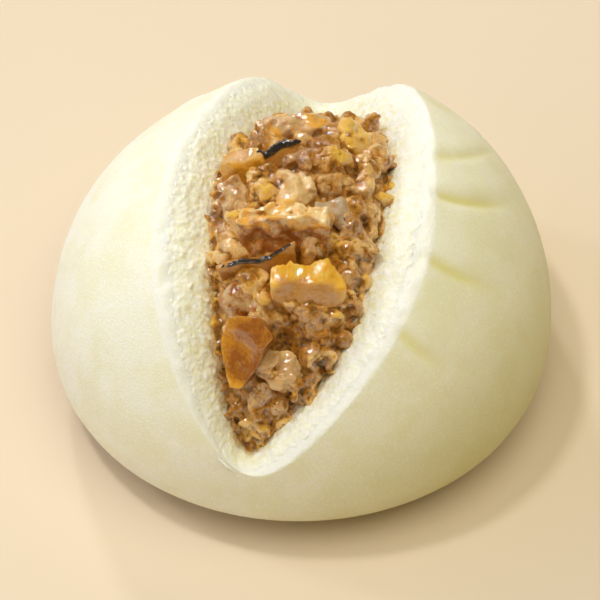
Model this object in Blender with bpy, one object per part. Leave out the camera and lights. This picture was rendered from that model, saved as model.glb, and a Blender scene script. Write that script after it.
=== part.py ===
"""Steamed bun with its top torn open over a chopped filling.

The dough is a squat dome on a flat base, with soft pleats round its upper half.
It has been pulled apart along Y: a long opening runs over the top, from low at
the front (-Y) to the back (+Y), and its walls of bare crumb go down to a pocket.
The minced filling fills the pocket and crowns out of the opening. The larger
pieces of the filling (pork, bamboo shoot, mushroom, onion) are parts of their
own, half sunk in the mince with a narrow gap round each.
"""
import math
import random

import bmesh
import bpy
from mathutils import Euler, Matrix, Vector, noise

MM = 0.001

# Dome: flat base, widest just above it, then a rounded top.
RADIUS = 50.0 * MM
BASE_RADIUS = 33.0 * MM
WIDEST_LEVEL = 12.0 * MM
HEIGHT = 58.7 * MM
# Hand-shaped unevenness of the outline, in per cent of the radius (cosine, sine), one to four
# waves round.
OUTLINE_WAVES = ((0.75, -0.3), (-0.9, 1.9), (-0.95, -0.6), (-0.15, -0.5))
SKIN_SWELL = 0.35 * MM
SKIN_SWELL_SIZE = 24.0 * MM

# Opening in plan: (middle along Y, half width, reach to the front, reach to the back), and its
# unevenness in per cent, two to five waves round.
RIM = (-8.8 * MM, 27.3 * MM, 38.3 * MM, 54.6 * MM)
RIM_WAVES = ((-6.4, 0.9), (1.3, -2.95), (1.8, 0.0), (-0.2, 0.3))
MOUTH = (-8.4 * MM, 18.8 * MM, 40.0 * MM, 51.6 * MM)
MOUTH_WAVES = ((0.4, 1.6), (1.5, 0.9), (0.6, -0.9), (-2.65, 2.3))
BACK_LIMIT = (0.90, 0.10)
MOUTH_DEPTH = 8.5 * MM
WALL_POWER = 1.8
LIP_SWELL = 0.3 * MM
LIP_REACH = 10.0 * MM
CRUMB_RELIEF = 0.7 * MM
CRUMB_SIZE = 4.5 * MM

# Pocket under the mouth.
POCKET_CENTRE_Y = -4.0 * MM
POCKET_FLOOR = 13.0 * MM
POCKET_BULGE = 0.10

# Pleats: azimuth and latitude in degrees where each starts and ends, depth, half width.
PLEATS = (
    (53, 46, 49, 30, 1.3, 1.7),
    (15, 63, 42, 27, 1.9, 1.9),
    (-5, 60, 17, 32, 1.9, 1.9),
    (-32, 54, -17, 33, 1.7, 1.8),
    (-54, 44, -43, 27, 1.2, 1.7),
    (76, 40, 70, 20, 1.1, 1.8),
    (104, 34, 99, 14, 1.2, 1.9),
    (128, 44, 121, 22, 1.3, 1.9),
    (146, 56, 139, 32, 1.2, 1.9),
    (160, 61, 155, 38, 0.9, 1.8),
    (180, 60, 176, 40, 0.8, 1.8),
    (-163, 56, -165, 38, 0.7, 1.8),
    (-141, 47, -146, 30, 0.6, 1.8),
)

# Mesh of the dough: columns round the opening, rings from the base centre to the pocket floor.
COLUMNS = 80
BASE_RINGS = 3
SIDE_RINGS = 4
SKIN_RINGS = 11
WALL_RINGS = 8
POCKET_RINGS = 5

# Filling: how far under the dome its crown and its edge lie, and its lumps.
CROWN_INSET = 5.0 * MM
EDGE_INSET = 3.4 * MM
BACK_FALL = 0.28
BACK_FALL_START = 8.0 * MM
CORE_MARGIN = 0.8 * MM
CORE_COLUMNS = 26
CORE_TOP_RINGS = 6
CORE_LOW_RINGS = 5
LUMP_TRIES = 1500
LUMP_REACH = 0.88
LUMP_SPACING = 4.3 * MM
LUMP_RADIUS = (2.3 * MM, 3.3 * MM)
GAP = 0.35 * MM

# Larger pieces: name, material, place on the dome (x, y), depth under it, size (across, along,
# thick), turn about the dome's normal, lean back about X, roll about Y, squareness, seed.
PIECES = (
    ("pork_back", "pork", (-3.0, 13.0), 5.4, (14.5, 8.0, 6.5), 6, 0, 0, 2.6, 11),
    ("bamboo_back", "bamboo", (9.0, 11.2), 5.6, (7.5, 9.5, 7.0), -8, 0, 12, 3.0, 12),
    ("mushroom_back", "mushroom", (-5.6, 2.4), 4.6, (9.4, 4.6, 5.8), 14, -34, 0, 4.5, 13),
    ("bamboo_left", "bamboo", (-12.8, 0.2), 5.6, (9.0, 5.4, 5.6), 3, -14, -6, 5.5, 14),
    ("pork_left", "pork", (-13.2, -8.2), 5.8, (7.2, 9.6, 6.2), 10, 0, -8, 2.8, 15),
    ("pork_middle", "pork", (-0.9, -8.0), 4.3, (8.4, 9.4, 6.2), -6, 0, 4, 2.4, 16),
    ("onion", "onion", (8.0, -11.2), 5.6, (7.2, 7.0, 4.6), 24, 0, 10, 2.6, 17),
    ("pork_slab", "pork", (-1.6, -17.6), 4.6, (17.4, 4.6, 8.6), 2, -36, 0, 4.5, 18),
    ("mushroom_middle", "mushroom", (-5.8, -23.4), 5.2, (15.4, 3.4, 5.4), 13, -30, 0, 4.5, 19),
    ("bamboo_middle", "bamboo", (4.6, -27.0), 4.4, (14.8, 8.8, 7.2), 6, -14, 4, 3.6, 20),
    ("pork_grey", "pork", (-8.6, -30.2), 5.4, (9.8, 8.4, 6.4), 8, 0, -10, 2.8, 21),
    ("bamboo_front", "bamboo", (-6.8, -38.0), 5.2, (8.6, 14.0, 3.8), -22, 6, -14, 3.2, 22),
    ("pork_front", "pork", (0.6, -40.4), 6.0, (10.0, 8.6, 5.4), 8, 0, 8, 2.5, 23),
)

MATERIALS = {
    "dough": ((0.86, 0.83, 0.66), 0.55),
    "mince": ((0.46, 0.27, 0.12), 0.35),
    "pork": ((0.50, 0.30, 0.16), 0.32),
    "bamboo": ((0.72, 0.40, 0.10), 0.30),
    "mushroom": ((0.33, 0.14, 0.04), 0.30),
    "onion": ((0.62, 0.47, 0.31), 0.18),
}


def clear_scene():
    for item in list(bpy.data.objects):
        bpy.data.objects.remove(item, do_unlink=True)


def new_collection(name):
    group = bpy.data.collections.new(name)
    bpy.context.scene.collection.children.link(group)
    return group


def new_material(name):
    colour, roughness = MATERIALS[name]
    mat = bpy.data.materials.new(name)
    mat.use_nodes = True
    shader = mat.node_tree.nodes["Principled BSDF"]
    shader.inputs["Base Color"].default_value = (*colour, 1.0)
    shader.inputs["Roughness"].default_value = roughness
    return mat


def new_object(name, mesh_bm, group):
    mesh = bpy.data.meshes.new(name)
    mesh_bm.to_mesh(mesh)
    mesh_bm.free()
    item = bpy.data.objects.new(name, mesh)
    group.objects.link(item)
    return item


def finish_surface(item, mat, crease_degrees):
    item.data.materials.clear()
    item.data.materials.append(mat)
    item.data.polygons.foreach_set("use_smooth", [True] * len(item.data.polygons))
    item.data.set_sharp_from_angle(angle=math.radians(crease_degrees))


def apply_modifiers(item):
    bpy.context.view_layer.objects.active = item
    for modifier in list(item.modifiers):
        with bpy.context.temp_override(object=item, active_object=item):
            bpy.ops.object.modifier_apply(modifier=modifier.name)


# ---- the dome -------------------------------------------------------------------------------


def smooth_step(low, high, value):
    share = min(max((value - low) / (high - low), 0.0), 1.0)
    return share * share * (3.0 - 2.0 * share)


def outline_factor(azimuth):
    total = 1.0
    for waves, (cosine, sine) in enumerate(OUTLINE_WAVES, start=1):
        total += (cosine * math.cos(waves * azimuth) + sine * math.sin(waves * azimuth)) / 100.0
    return total


def dome_point(direction):
    """Point of the upper dome that lies in a unit direction from its middle."""
    factor = outline_factor(math.atan2(direction.y, direction.x))
    rise = (HEIGHT - WIDEST_LEVEL) * direction.z
    return Vector((RADIUS * factor * direction.x, RADIUS * factor * direction.y,
                   WIDEST_LEVEL + rise))


def dome_normal(direction):
    return Vector((direction.x / RADIUS, direction.y / RADIUS,
                   direction.z / (HEIGHT - WIDEST_LEVEL))).normalized()


def plan_direction(x, y):
    """Unit direction over a place in plan; the back end of the opening stays on the dome."""
    start, room = BACK_LIMIT
    reach = math.hypot(x, y)
    if y > 0.0 and reach > start:
        limited = start + room * math.tanh((reach - start) / room)
        x *= limited / reach
        y *= limited / reach
    return Vector((x, y, math.sqrt(max(1.0 - x * x - y * y, 0.0))))


def opening_direction(turn, opening, waves):
    middle, half_width, front, back = opening
    swell = 1.0
    for count, (cosine, sine) in enumerate(waves, start=2):
        swell += (cosine * math.cos(count * turn) + sine * math.sin(count * turn)) / 100.0
    reach = back if math.sin(turn) > 0.0 else front
    x = swell * half_width * math.cos(turn) / RADIUS
    y = (middle + swell * reach * math.sin(turn)) / RADIUS
    return plan_direction(x, y)


def pleat_offset(azimuth, latitude):
    """Height of the pleats at a place on the skin: a crease with a soft fold beside it."""
    total = 0.0
    for start, high, end, low, depth, width in PLEATS:
        along = (high - math.degrees(latitude)) / (high - low)
        if not -0.25 < along < 1.0:
            continue
        centre = start + (end - start) * max(along, 0.0) ** 1.2
        apart = (math.degrees(azimuth) - centre + 180.0) % 360.0 - 180.0
        side = math.radians(apart) * math.cos(latitude) * RADIUS / MM
        fade = smooth_step(-0.25, 0.1, along) * (1.0 - smooth_step(0.35, 1.0, along))
        crease = -math.exp(-(side / width) ** 2)
        fold = 0.45 * math.exp(-((side - 2.6 * width) / (1.7 * width)) ** 2)
        total += depth * MM * fade * (crease + fold)
    return total


def skin_point(azimuth, latitude, rim_latitude):
    direction = Vector((math.cos(latitude) * math.cos(azimuth),
                        math.cos(latitude) * math.sin(azimuth), math.sin(latitude)))
    point = dome_point(direction)
    swell = LIP_SWELL * math.exp(-(rim_latitude - latitude) * RADIUS / LIP_REACH)
    uneven = SKIN_SWELL * noise.noise(point / SKIN_SWELL_SIZE)
    uneven *= smooth_step(0.0, 0.3, latitude)
    offset = swell + uneven + pleat_offset(azimuth, latitude)
    return point + dome_normal(direction) * offset


def crumb_relief(point, share):
    """Ragged relief of the torn crumb, none at the rim and at the pocket."""
    fade = smooth_step(0.0, 0.25, share) * (1.0 - smooth_step(0.8, 1.0, share))
    rough = noise.noise(point / CRUMB_SIZE) + 0.6 * noise.noise(point / (0.5 * CRUMB_SIZE))
    return CRUMB_RELIEF * fade * rough


def wall_point(turn, share):
    """Point of the torn wall; share runs from 0 at the rim to 1 at the mouth."""
    rim = opening_direction(turn, RIM, RIM_WAVES)
    mouth = opening_direction(turn, MOUTH, MOUTH_WAVES)
    direction = rim.lerp(mouth, share).normalized()
    swell = LIP_SWELL * (1.0 - share) ** 2
    azimuth = math.atan2(rim.y, rim.x)
    swell += pleat_offset(azimuth, math.asin(rim.z)) * (1.0 - share) ** 3
    base = dome_point(direction)
    swell += SKIN_SWELL * noise.noise(base / SKIN_SWELL_SIZE) * (1.0 - share)
    offset = swell - MOUTH_DEPTH * share ** WALL_POWER
    point = base + dome_normal(direction) * offset
    return point + dome_normal(direction) * crumb_relief(point, share)


def pocket_point(turn, share, margin):
    """Point of the pocket; share runs from 0 at the mouth to 1 at the middle of its floor."""
    top = wall_point(turn, 1.0)
    centre = Vector((0.0, POCKET_CENTRE_Y, 0.0))
    angle = share * math.pi / 2.0
    spread = math.cos(angle) ** 0.8 + POCKET_BULGE * math.sin(2.0 * angle)
    flat = Vector((top.x, top.y, 0.0)) - centre
    reach = max(flat.length * spread - margin, 0.0)
    floor = POCKET_FLOOR + margin
    level = floor + (top.z - floor) * (1.0 - math.sin(angle))
    place = centre + flat.normalized() * reach
    return Vector((place.x, place.y, level))


# ---- dough ----------------------------------------------------------------------------------


def column_turns(count):
    """Turns round the opening, spread by the rim's length and the bun's girth together."""
    steps = 1440
    lengths = [0.0]
    last = opening_direction(0.0, RIM, RIM_WAVES)
    for step in range(1, steps + 1):
        rim = opening_direction(2.0 * math.pi * step / steps, RIM, RIM_WAVES)
        swept = math.atan2(last.x * rim.y - last.y * rim.x, last.x * rim.x + last.y * rim.y)
        lengths.append(lengths[-1] + (rim - last).length + 0.5 * abs(swept))
        last = rim
    turns = []
    step = 0
    for column in range(count):
        goal = lengths[-1] * column / count
        while lengths[step + 1] < goal:
            step += 1
        part = (goal - lengths[step]) / (lengths[step + 1] - lengths[step])
        turns.append(2.0 * math.pi * (step + part) / steps)
    return turns


def dough_column(turn):
    """Points of one column of the dough, from next to the base centre to next to the floor."""
    rim = opening_direction(turn, RIM, RIM_WAVES)
    azimuth = math.atan2(rim.y, rim.x)
    rim_latitude = math.asin(rim.z)
    factor = outline_factor(azimuth)
    around = Vector((math.cos(azimuth), math.sin(azimuth), 0.0))
    points = []
    for ring in range(1, BASE_RINGS + 1):
        points.append(around * (BASE_RADIUS * factor * ring / BASE_RINGS))
    for ring in range(1, SIDE_RINGS):
        angle = math.pi / 2.0 * (1.0 - ring / SIDE_RINGS)
        reach = BASE_RADIUS + (RADIUS - BASE_RADIUS) * math.cos(angle)
        level = WIDEST_LEVEL * (1.0 - math.sin(angle))
        points.append(around * (reach * factor) + Vector((0.0, 0.0, level)))
    for ring in range(SKIN_RINGS):
        share = (ring / SKIN_RINGS) ** 0.85
        points.append(skin_point(azimuth, rim_latitude * share, rim_latitude))
    for ring in range(WALL_RINGS + 1):
        points.append(wall_point(turn, ring / WALL_RINGS))
    for ring in range(1, POCKET_RINGS):
        points.append(pocket_point(turn, ring / POCKET_RINGS, 0.0))
    return points


def make_dough(group):
    columns = [dough_column(turn) for turn in column_turns(COLUMNS)]
    rings = len(columns[0])
    bm = bmesh.new()
    bmesh.ops.create_uvsphere(bm, u_segments=COLUMNS, v_segments=rings + 1, radius=1.0)
    for vert in bm.verts:
        x, y, z = vert.co
        ring = round(math.acos(max(-1.0, min(1.0, -z))) / math.pi * (rings + 1))
        column = round(math.atan2(y, x) / (2.0 * math.pi) * COLUMNS) % COLUMNS
        if ring == 0:
            vert.co = (0.0, 0.0, 0.0)
        elif ring == rings + 1:
            vert.co = (0.0, POCKET_CENTRE_Y, POCKET_FLOOR)
        else:
            vert.co = columns[column][ring - 1]
    return new_object("dough", bm, group)


# ---- filling --------------------------------------------------------------------------------


def crown_point(turn, reach, lift):
    """Point of the filling's crown; reach runs from 0 in its middle to 1 at the mouth's edge."""
    middle = plan_direction(0.0, MOUTH[0] / RADIUS)
    mouth = opening_direction(turn, MOUTH, MOUTH_WAVES)
    direction = middle.lerp(mouth, reach).normalized()
    point = dome_point(direction)
    inset = CROWN_INSET + EDGE_INSET * reach ** 3
    inset += BACK_FALL * max(point.y - BACK_FALL_START, 0.0) * (1.0 - reach ** 4)
    return point + dome_normal(direction) * (lift - inset)


def make_filling_core(group):
    rings = CORE_LOW_RINGS + CORE_TOP_RINGS
    bm = bmesh.new()
    bmesh.ops.create_uvsphere(bm, u_segments=CORE_COLUMNS, v_segments=rings, radius=1.0)
    for vert in bm.verts:
        x, y, z = vert.co
        ring = round(math.acos(max(-1.0, min(1.0, -z))) / math.pi * rings)
        turn = math.atan2(y, x)
        if ring < CORE_LOW_RINGS:
            share = 1.0 - ring / CORE_LOW_RINGS
            vert.co = pocket_point(turn, 0.05 + 0.95 * share, CORE_MARGIN)
        else:
            reach = 0.955 * (1.0 - (ring - CORE_LOW_RINGS) / CORE_TOP_RINGS)
            vert.co = crown_point(turn, reach, 0.0)
    return new_object("filling", bm, group)


def add_lump(centre, radius, rng, name, group):
    """One small lump of the mince: a squashed ball of few sides."""
    bm = bmesh.new()
    bmesh.ops.create_icosphere(bm, subdivisions=1, radius=radius)
    turn = Euler([rng.uniform(0.0, math.tau) for _ in range(3)]).to_matrix()
    stretch = Matrix.Diagonal([rng.uniform(0.75, 1.25) for _ in range(3)])
    bm.transform((turn @ stretch).to_4x4())
    for vert in bm.verts:
        vert.co *= rng.uniform(0.86, 1.12)
        vert.co += centre
    return new_object(name, bm, group)


def make_lumps(group):
    """Scatter lumps over the crown, apart from each other and beside the larger pieces."""
    rng = random.Random(31)
    middles = []
    for _ in range(LUMP_TRIES):
        reach = math.sqrt(rng.random()) * LUMP_REACH
        centre = crown_point(rng.uniform(0.0, math.tau), reach, rng.uniform(-0.5, 0.6) * MM)
        if any((centre - other).length < LUMP_SPACING for other in middles):
            continue
        if any(inside_piece(centre, row) for row in PIECES):
            continue
        radius = rng.uniform(*LUMP_RADIUS)
        add_lump(centre, radius, rng, "lump_%02d" % len(middles), group)
        middles.append(centre)


def piece_frame(place, depth, turn, lean, roll):
    """Middle and axes of a larger piece: it lies on the dome's slope, turned and leant."""
    direction = plan_direction(place[0] * MM / RADIUS, place[1] * MM / RADIUS)
    normal = dome_normal(direction)
    across = Vector((0.0, 1.0, 0.0)).cross(normal).normalized()
    along = normal.cross(across)
    base = Matrix((across, along, normal)).transposed()
    own = Euler((math.radians(lean), math.radians(roll), 0.0)).to_matrix()
    spin = Matrix.Rotation(math.radians(turn), 3, "Z")
    middle = dome_point(direction) - normal * depth * MM
    return Matrix.Translation(middle) @ (base @ spin @ own).to_4x4()


def inside_piece(point, row):
    """Whether a point lies well inside a larger piece, where a lump would be lost."""
    size = row[4]
    own = piece_frame(row[2], row[3], row[5], row[6], row[7]).inverted() @ point
    return Vector([own[axis] / (size[axis] * MM / 2.0) for axis in range(3)]).length < 0.95


def make_piece(row, group, name, margin):
    """A rounded block with uneven sides, larger all round by the margin."""
    _, _, place, depth, size, turn, lean, roll, square, seed = row
    rng = random.Random(seed)
    bm = bmesh.new()
    bmesh.ops.create_cube(bm, size=2.0)
    bmesh.ops.subdivide_edges(bm, edges=bm.edges[:], cuts=2, use_grid_fill=True)
    drift = Vector([rng.uniform(-50.0, 50.0) for _ in range(3)])
    for vert in bm.verts:
        edge = sum(abs(value) ** square for value in vert.co) ** (1.0 / square)
        ball = vert.co / edge
        bump = 1.0 + 0.16 * noise.noise(ball * 1.3 + drift)
        reach = [bump * size[axis] * MM / 2.0 + margin for axis in range(3)]
        vert.co = Vector([ball[axis] * reach[axis] for axis in range(3)])
    bm.transform(piece_frame(place, depth, turn, lean, roll))
    return new_object(name, bm, group)


# ---- clearances -----------------------------------------------------------------------------


def grown_copy(item, group):
    """Copy of a part, larger by the gap all round, that cuts the parts beside it."""
    copy = bpy.data.objects.new(item.name + "_room", item.data.copy())
    group.objects.link(copy)
    grow = copy.modifiers.new("grow", "DISPLACE")
    grow.strength = GAP
    grow.mid_level = 0.0
    apply_modifiers(copy)
    return copy


def cut(item, cutter):
    boolean = item.modifiers.new("cut", "BOOLEAN")
    boolean.operation = "DIFFERENCE"
    boolean.solver = "MANIFOLD"
    boolean.object = cutter
    apply_modifiers(item)


def near(one, other):
    for axis in range(3):
        a = [corner[axis] for corner in one.bound_box]
        b = [corner[axis] for corner in other.bound_box]
        if min(a) > max(b) or min(b) > max(a):
            return False
    return True


def keep_largest(item):
    """Drop the loose scraps and the shut hollows that the cuts have left."""
    bm = bmesh.new()
    bm.from_mesh(item.data)
    unseen = set(bm.faces)
    islands = []
    while unseen:
        front = [unseen.pop()]
        island = list(front)
        while front:
            for edge in front.pop().edges:
                for face in edge.link_faces:
                    if face in unseen:
                        unseen.remove(face)
                        island.append(face)
                        front.append(face)
        islands.append(island)
    islands.sort(key=lambda island: sum(face.calc_area() for face in island))
    scraps = [face for island in islands[:-1] for face in island]
    bmesh.ops.delete(bm, geom=scraps, context="FACES")
    bm.to_mesh(item.data)
    bm.free()


def join_lumps(item, group):
    """Fuse the lumps with the core; the exact solver fails on this many balls."""
    boolean = item.modifiers.new("lumps", "BOOLEAN")
    boolean.operation = "UNION"
    boolean.solver = "MANIFOLD"
    boolean.operand_type = "COLLECTION"
    boolean.collection = group
    apply_modifiers(item)
    for lump in list(group.objects):
        bpy.data.objects.remove(lump, do_unlink=True)


def centre_on_base(dough, items):
    """Move everything so that the dough's own box stands in the middle of the base plane."""
    places = [vert.co for vert in dough.data.vertices]
    middle_x = (min(place.x for place in places) + max(place.x for place in places)) / 2.0
    middle_y = (min(place.y for place in places) + max(place.y for place in places)) / 2.0
    for item in items:
        item.data.transform(Matrix.Translation((-middle_x, -middle_y, 0.0)))


def main():
    clear_scene()
    parts = new_collection("steamed_bun")
    rooms = new_collection("cutters")
    lumps = new_collection("lumps")
    materials = {name: new_material(name) for name in MATERIALS}

    dough = make_dough(parts)
    finish_surface(dough, materials["dough"], 60)
    cutters = [grown_copy(dough, rooms)]

    pieces = []
    for row in PIECES:
        piece = make_piece(row, parts, row[0], 0.0)
        for cutter in cutters:
            if near(piece, cutter):
                cut(piece, cutter)
        keep_largest(piece)
        finish_surface(piece, materials[row[1]], 50)
        pieces.append(piece)
        cutters.append(make_piece(row, rooms, row[0] + "_room", 1.3 * GAP))

    filling = make_filling_core(parts)
    make_lumps(lumps)
    join_lumps(filling, lumps)
    bpy.data.collections.remove(lumps)
    for cutter in cutters:
        cut(filling, cutter)
    keep_largest(filling)
    finish_surface(filling, materials["mince"], 50)

    for cutter in cutters:
        cutter.hide_render = True
        cutter.display_type = "WIRE"
    for cutter in cutters:
        bpy.data.objects.remove(cutter, do_unlink=True)
    bpy.data.collections.remove(rooms)
    centre_on_base(dough, [dough, filling] + pieces)


main()
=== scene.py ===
"""Steamed bun, torn open over its chopped filling.

The dough is one closed shell: a smooth skin with soft pleats, a torn crumb wall and the
pocket under it. The mince fills the pocket, and the larger cuts of pork, bamboo shoot,
mushroom and onion lie in it. Each stands where the solid model has it.
"""
import math
import random
from collections import namedtuple

import bmesh
import bpy
import numpy as np
from mathutils import Euler, Matrix, Vector, noise
from mathutils.bvhtree import BVHTree
from mathutils.kdtree import KDTree


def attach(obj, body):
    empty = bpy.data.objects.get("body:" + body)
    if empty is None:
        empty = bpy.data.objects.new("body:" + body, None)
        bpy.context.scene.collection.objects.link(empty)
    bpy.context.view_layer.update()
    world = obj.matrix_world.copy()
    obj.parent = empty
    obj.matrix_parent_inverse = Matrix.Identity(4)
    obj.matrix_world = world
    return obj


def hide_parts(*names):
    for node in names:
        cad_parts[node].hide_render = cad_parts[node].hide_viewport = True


bl_info = {
    "name": "Steamed pork bun",
    "version": (1, 0, 0),
    "blender": (4, 5, 0),
    "location": "View3D > Sidebar > Bun",
    "description": "Models a torn-open steamed bun and its chopped pork filling",
    "category": "Add Mesh",
}

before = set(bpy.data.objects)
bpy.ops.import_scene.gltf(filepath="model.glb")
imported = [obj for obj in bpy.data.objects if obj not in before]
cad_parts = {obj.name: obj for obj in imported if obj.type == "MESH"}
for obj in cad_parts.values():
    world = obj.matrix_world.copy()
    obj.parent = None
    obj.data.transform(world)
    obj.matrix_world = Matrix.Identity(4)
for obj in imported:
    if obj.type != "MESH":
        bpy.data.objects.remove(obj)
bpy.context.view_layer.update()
MM = 0.001
# Seed of Blender's noise, which would otherwise start from the clock.
NOISE_SEED = 4

# ---- floor, lamps and camera (metres from the middle of the bun's base) ---------------------

FLOOR_SIZE = 6.0
# Small lamps that draw the wet glints: the way to each, its distance and its size.
LAMPS = {
    "soft_lamp": ((-0.34, 0.05, 0.94), 1.4, 0.14),
    "back_lamp": ((-0.35, 0.75, 0.56), 1.2, 0.12),
    "left_lamp": ((-0.80, 0.20, 0.56), 1.2, 0.09),
}
# Broad panels: the way to each, and by how much it is multiplied.
PANELS = {
    "overhead_panel": ((0.30, -0.22, 1.57), 1.0),
    "side_panel": ((-0.86, 0.0, 0.51), 1.6),
    "front_panel": ((-0.55, -0.76, 0.35), 1.6),
}
PANEL_SIZE = 1.5
CAMERA_DISTANCE = 0.6
CAMERA_NEAR = 0.01
LOOK_LEVEL = 0.030
# How many pixels wide the picture is, how many show a millimetre of the bun, and how far the
# camera's target lies from the middle of the bun in the picture (to the right and up).
PICTURE_PIXELS = 600.0
PIXELS_PER_MM = 5.126
PICTURE_SHIFT = (-2.35, -49.5)
SENSOR_WIDTH = 36.0

# ---- the dome and its opening, as in the solid model (millimetres) --------------------------

RADIUS = 50.0
BASE_RADIUS = 33.0
WIDEST_LEVEL = 12.0
HEIGHT = 58.7
# Waves round the outline and round the openings: cosine and sine of each, in hundredths.
OUTLINE_WAVES = ((0.75, -0.3), (-0.9, 1.9), (-0.95, -0.6), (-0.15, -0.5))
SKIN_SWELL = 0.35
SKIN_SWELL_SIZE = 24.0
# Openings in plan: middle along Y, half width, reach to the front, reach to the back.
RIM = (-8.8, 27.3, 38.3, 54.6)
RIM_WAVES = ((-6.4, 0.9), (1.3, -2.95), (1.8, 0.0), (-0.2, 0.3))
MOUTH = (-8.4, 18.8, 40.0, 51.6)
MOUTH_WAVES = ((0.4, 1.6), (1.5, 0.9), (0.6, -0.9), (-2.65, 2.3))
# Where the back end of the opening is held on the dome, as a share of its radius, and the room
# left behind that.
BACK_LIMIT = (0.90, 0.10)
MOUTH_DEPTH = 8.5
WALL_POWER = 1.8
LIP_SWELL = 0.3
LIP_REACH = 10.0
# Relief of the torn wall, and of the dough's mesh under the loose crumb.
CRUMB_RELIEF = 0.45
CRUMB_SIZE = 4.5
SHELL_SINK = 0.55
FINE_RELIEF = 0.07
FINE_SIZE = 1.1
POCKET_CENTRE_Y = -4.0
POCKET_FLOOR = 13.0
POCKET_BULGE = 0.10
# Shift from the dome's axis to the frame, whose origin is the middle of the bun's box.
CENTRING = Vector((0.10348, -0.24722, 0.0))

# Pleats: azimuth and latitude in degrees where each starts and ends, depth, half width.
PLEATS = (
    (53, 46, 49, 30, 0.35, 2.2),
    (15, 63, 42, 27, 0.40, 1.3),
    (-5, 60, 17, 32, 0.70, 1.5),
    (-32, 54, -17, 33, 0.65, 1.5),
    (-54, 44, -43, 27, 0.5, 1.5),
    (76, 40, 70, 20, 0.9, 1.8),
    (104, 34, 99, 14, 0.9, 1.9),
    (128, 44, 121, 22, 0.5, 1.9),
)

# Mesh of the dough: columns round the opening, rings from the base centre to the pocket floor.
COLUMNS = 840
BASE_RINGS = 4
SIDE_RINGS = 9
SKIN_RINGS = 66
WALL_RINGS = 30
POCKET_RINGS = 8
# Steps in which the rim's length is measured.
TURN_STEPS = 2880

# Filling: how far its crown and its edge lie under the dome, and its lumps.
CROWN_INSET = 5.0
EDGE_INSET = 3.4
BACK_FALL = 0.28
BACK_FALL_START = 8.0
LUMP_TRIES = 1500
LUMP_REACH = 0.88
LUMP_RADIUS = (2.3, 3.3)
LUMP_CORNERS = 40
LUMP_SEED = 31
LUMP_SHAPE_SEED = 51
TONE_SEED = 43
# Relief of the mince, and how deep it sinks in the hollows.
MINCE_RELIEF = 0.75
HOLLOW_DEPTH = 1.8

# Core of the mince under its lumps: its mesh, and how much of the crown it reaches over.
CORE_COLUMNS = 96
CORE_RINGS = 30
CORE_POCKET_RINGS = 14
CORE_REACH = 0.985

# Smaller bits of mince: how many, between which radii, their corners, and the seeds of their
# places and of their shapes. The edge bits end at a level of y before the back.
Bits = namedtuple("Bits", "count radii corners seed shape_seed")
MEDIUM_BITS = Bits(60, (0.9, 1.6), 24, 41, 52)
SMALL_BITS = Bits(90, (0.40, 0.85), 14, 42, 53)
EDGE_BITS = Bits(520, (0.5, 1.5), 10, 44, 54)
EDGE_BITS_END = 12.0

# Torn crumb: where its band starts and ends as a share of the wall, its mesh and its flakes.
CRUMB_START = 0.07
CRUMB_END = 1.05
CRUMB_COLUMNS = 256
CRUMB_RINGS = 44
FLAKES = Bits(3600, (0.26, 0.48), 12, 61, 62)

# How far back (along Y) the sauce's stain on the crumb starts and ends to fade.
STAIN_FADE = (7.0, 13.0)

# Voxel size and rounds of softening that fuse the chunks of a piece.
CRUMB_FUSING = (0.31, 3)
MINCE_FUSING = (0.385, 3)
CUT_FUSING = (0.24, 7)
# How far and how widely the larger cuts are bent out of their straight cuts.
CUT_BEND = 0.50
CUT_BEND_SIZE = 3.2
# Growth and rise of the onion, which swells more than the other cuts.
ONION_GROWTH = 1.18
ONION_RISE = Vector((0.0, 0.0, 0.5))
# Rounds of smoothing against which fine, common and broad bulges are measured.
FINE_ROUNDS = 16
BULGE_ROUNDS = 30
BROAD_ROUNDS = 120
# Different shapes in each stock of chunks, and corners of the cuts chopped at random.
CHUNK_KINDS = 24
BLOCK_CORNERS = 24
LOBE_CORNERS = 14
# Drifts through the noise that keep pores, creases and sauce patches apart.
PORE_DRIFT = Vector((7.0, 3.0, 5.0))
CREASE_DRIFT = Vector((9.0, 4.0, 1.0))
PATCH_DRIFT = Vector((7.0, 1.0, 3.0))

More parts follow.
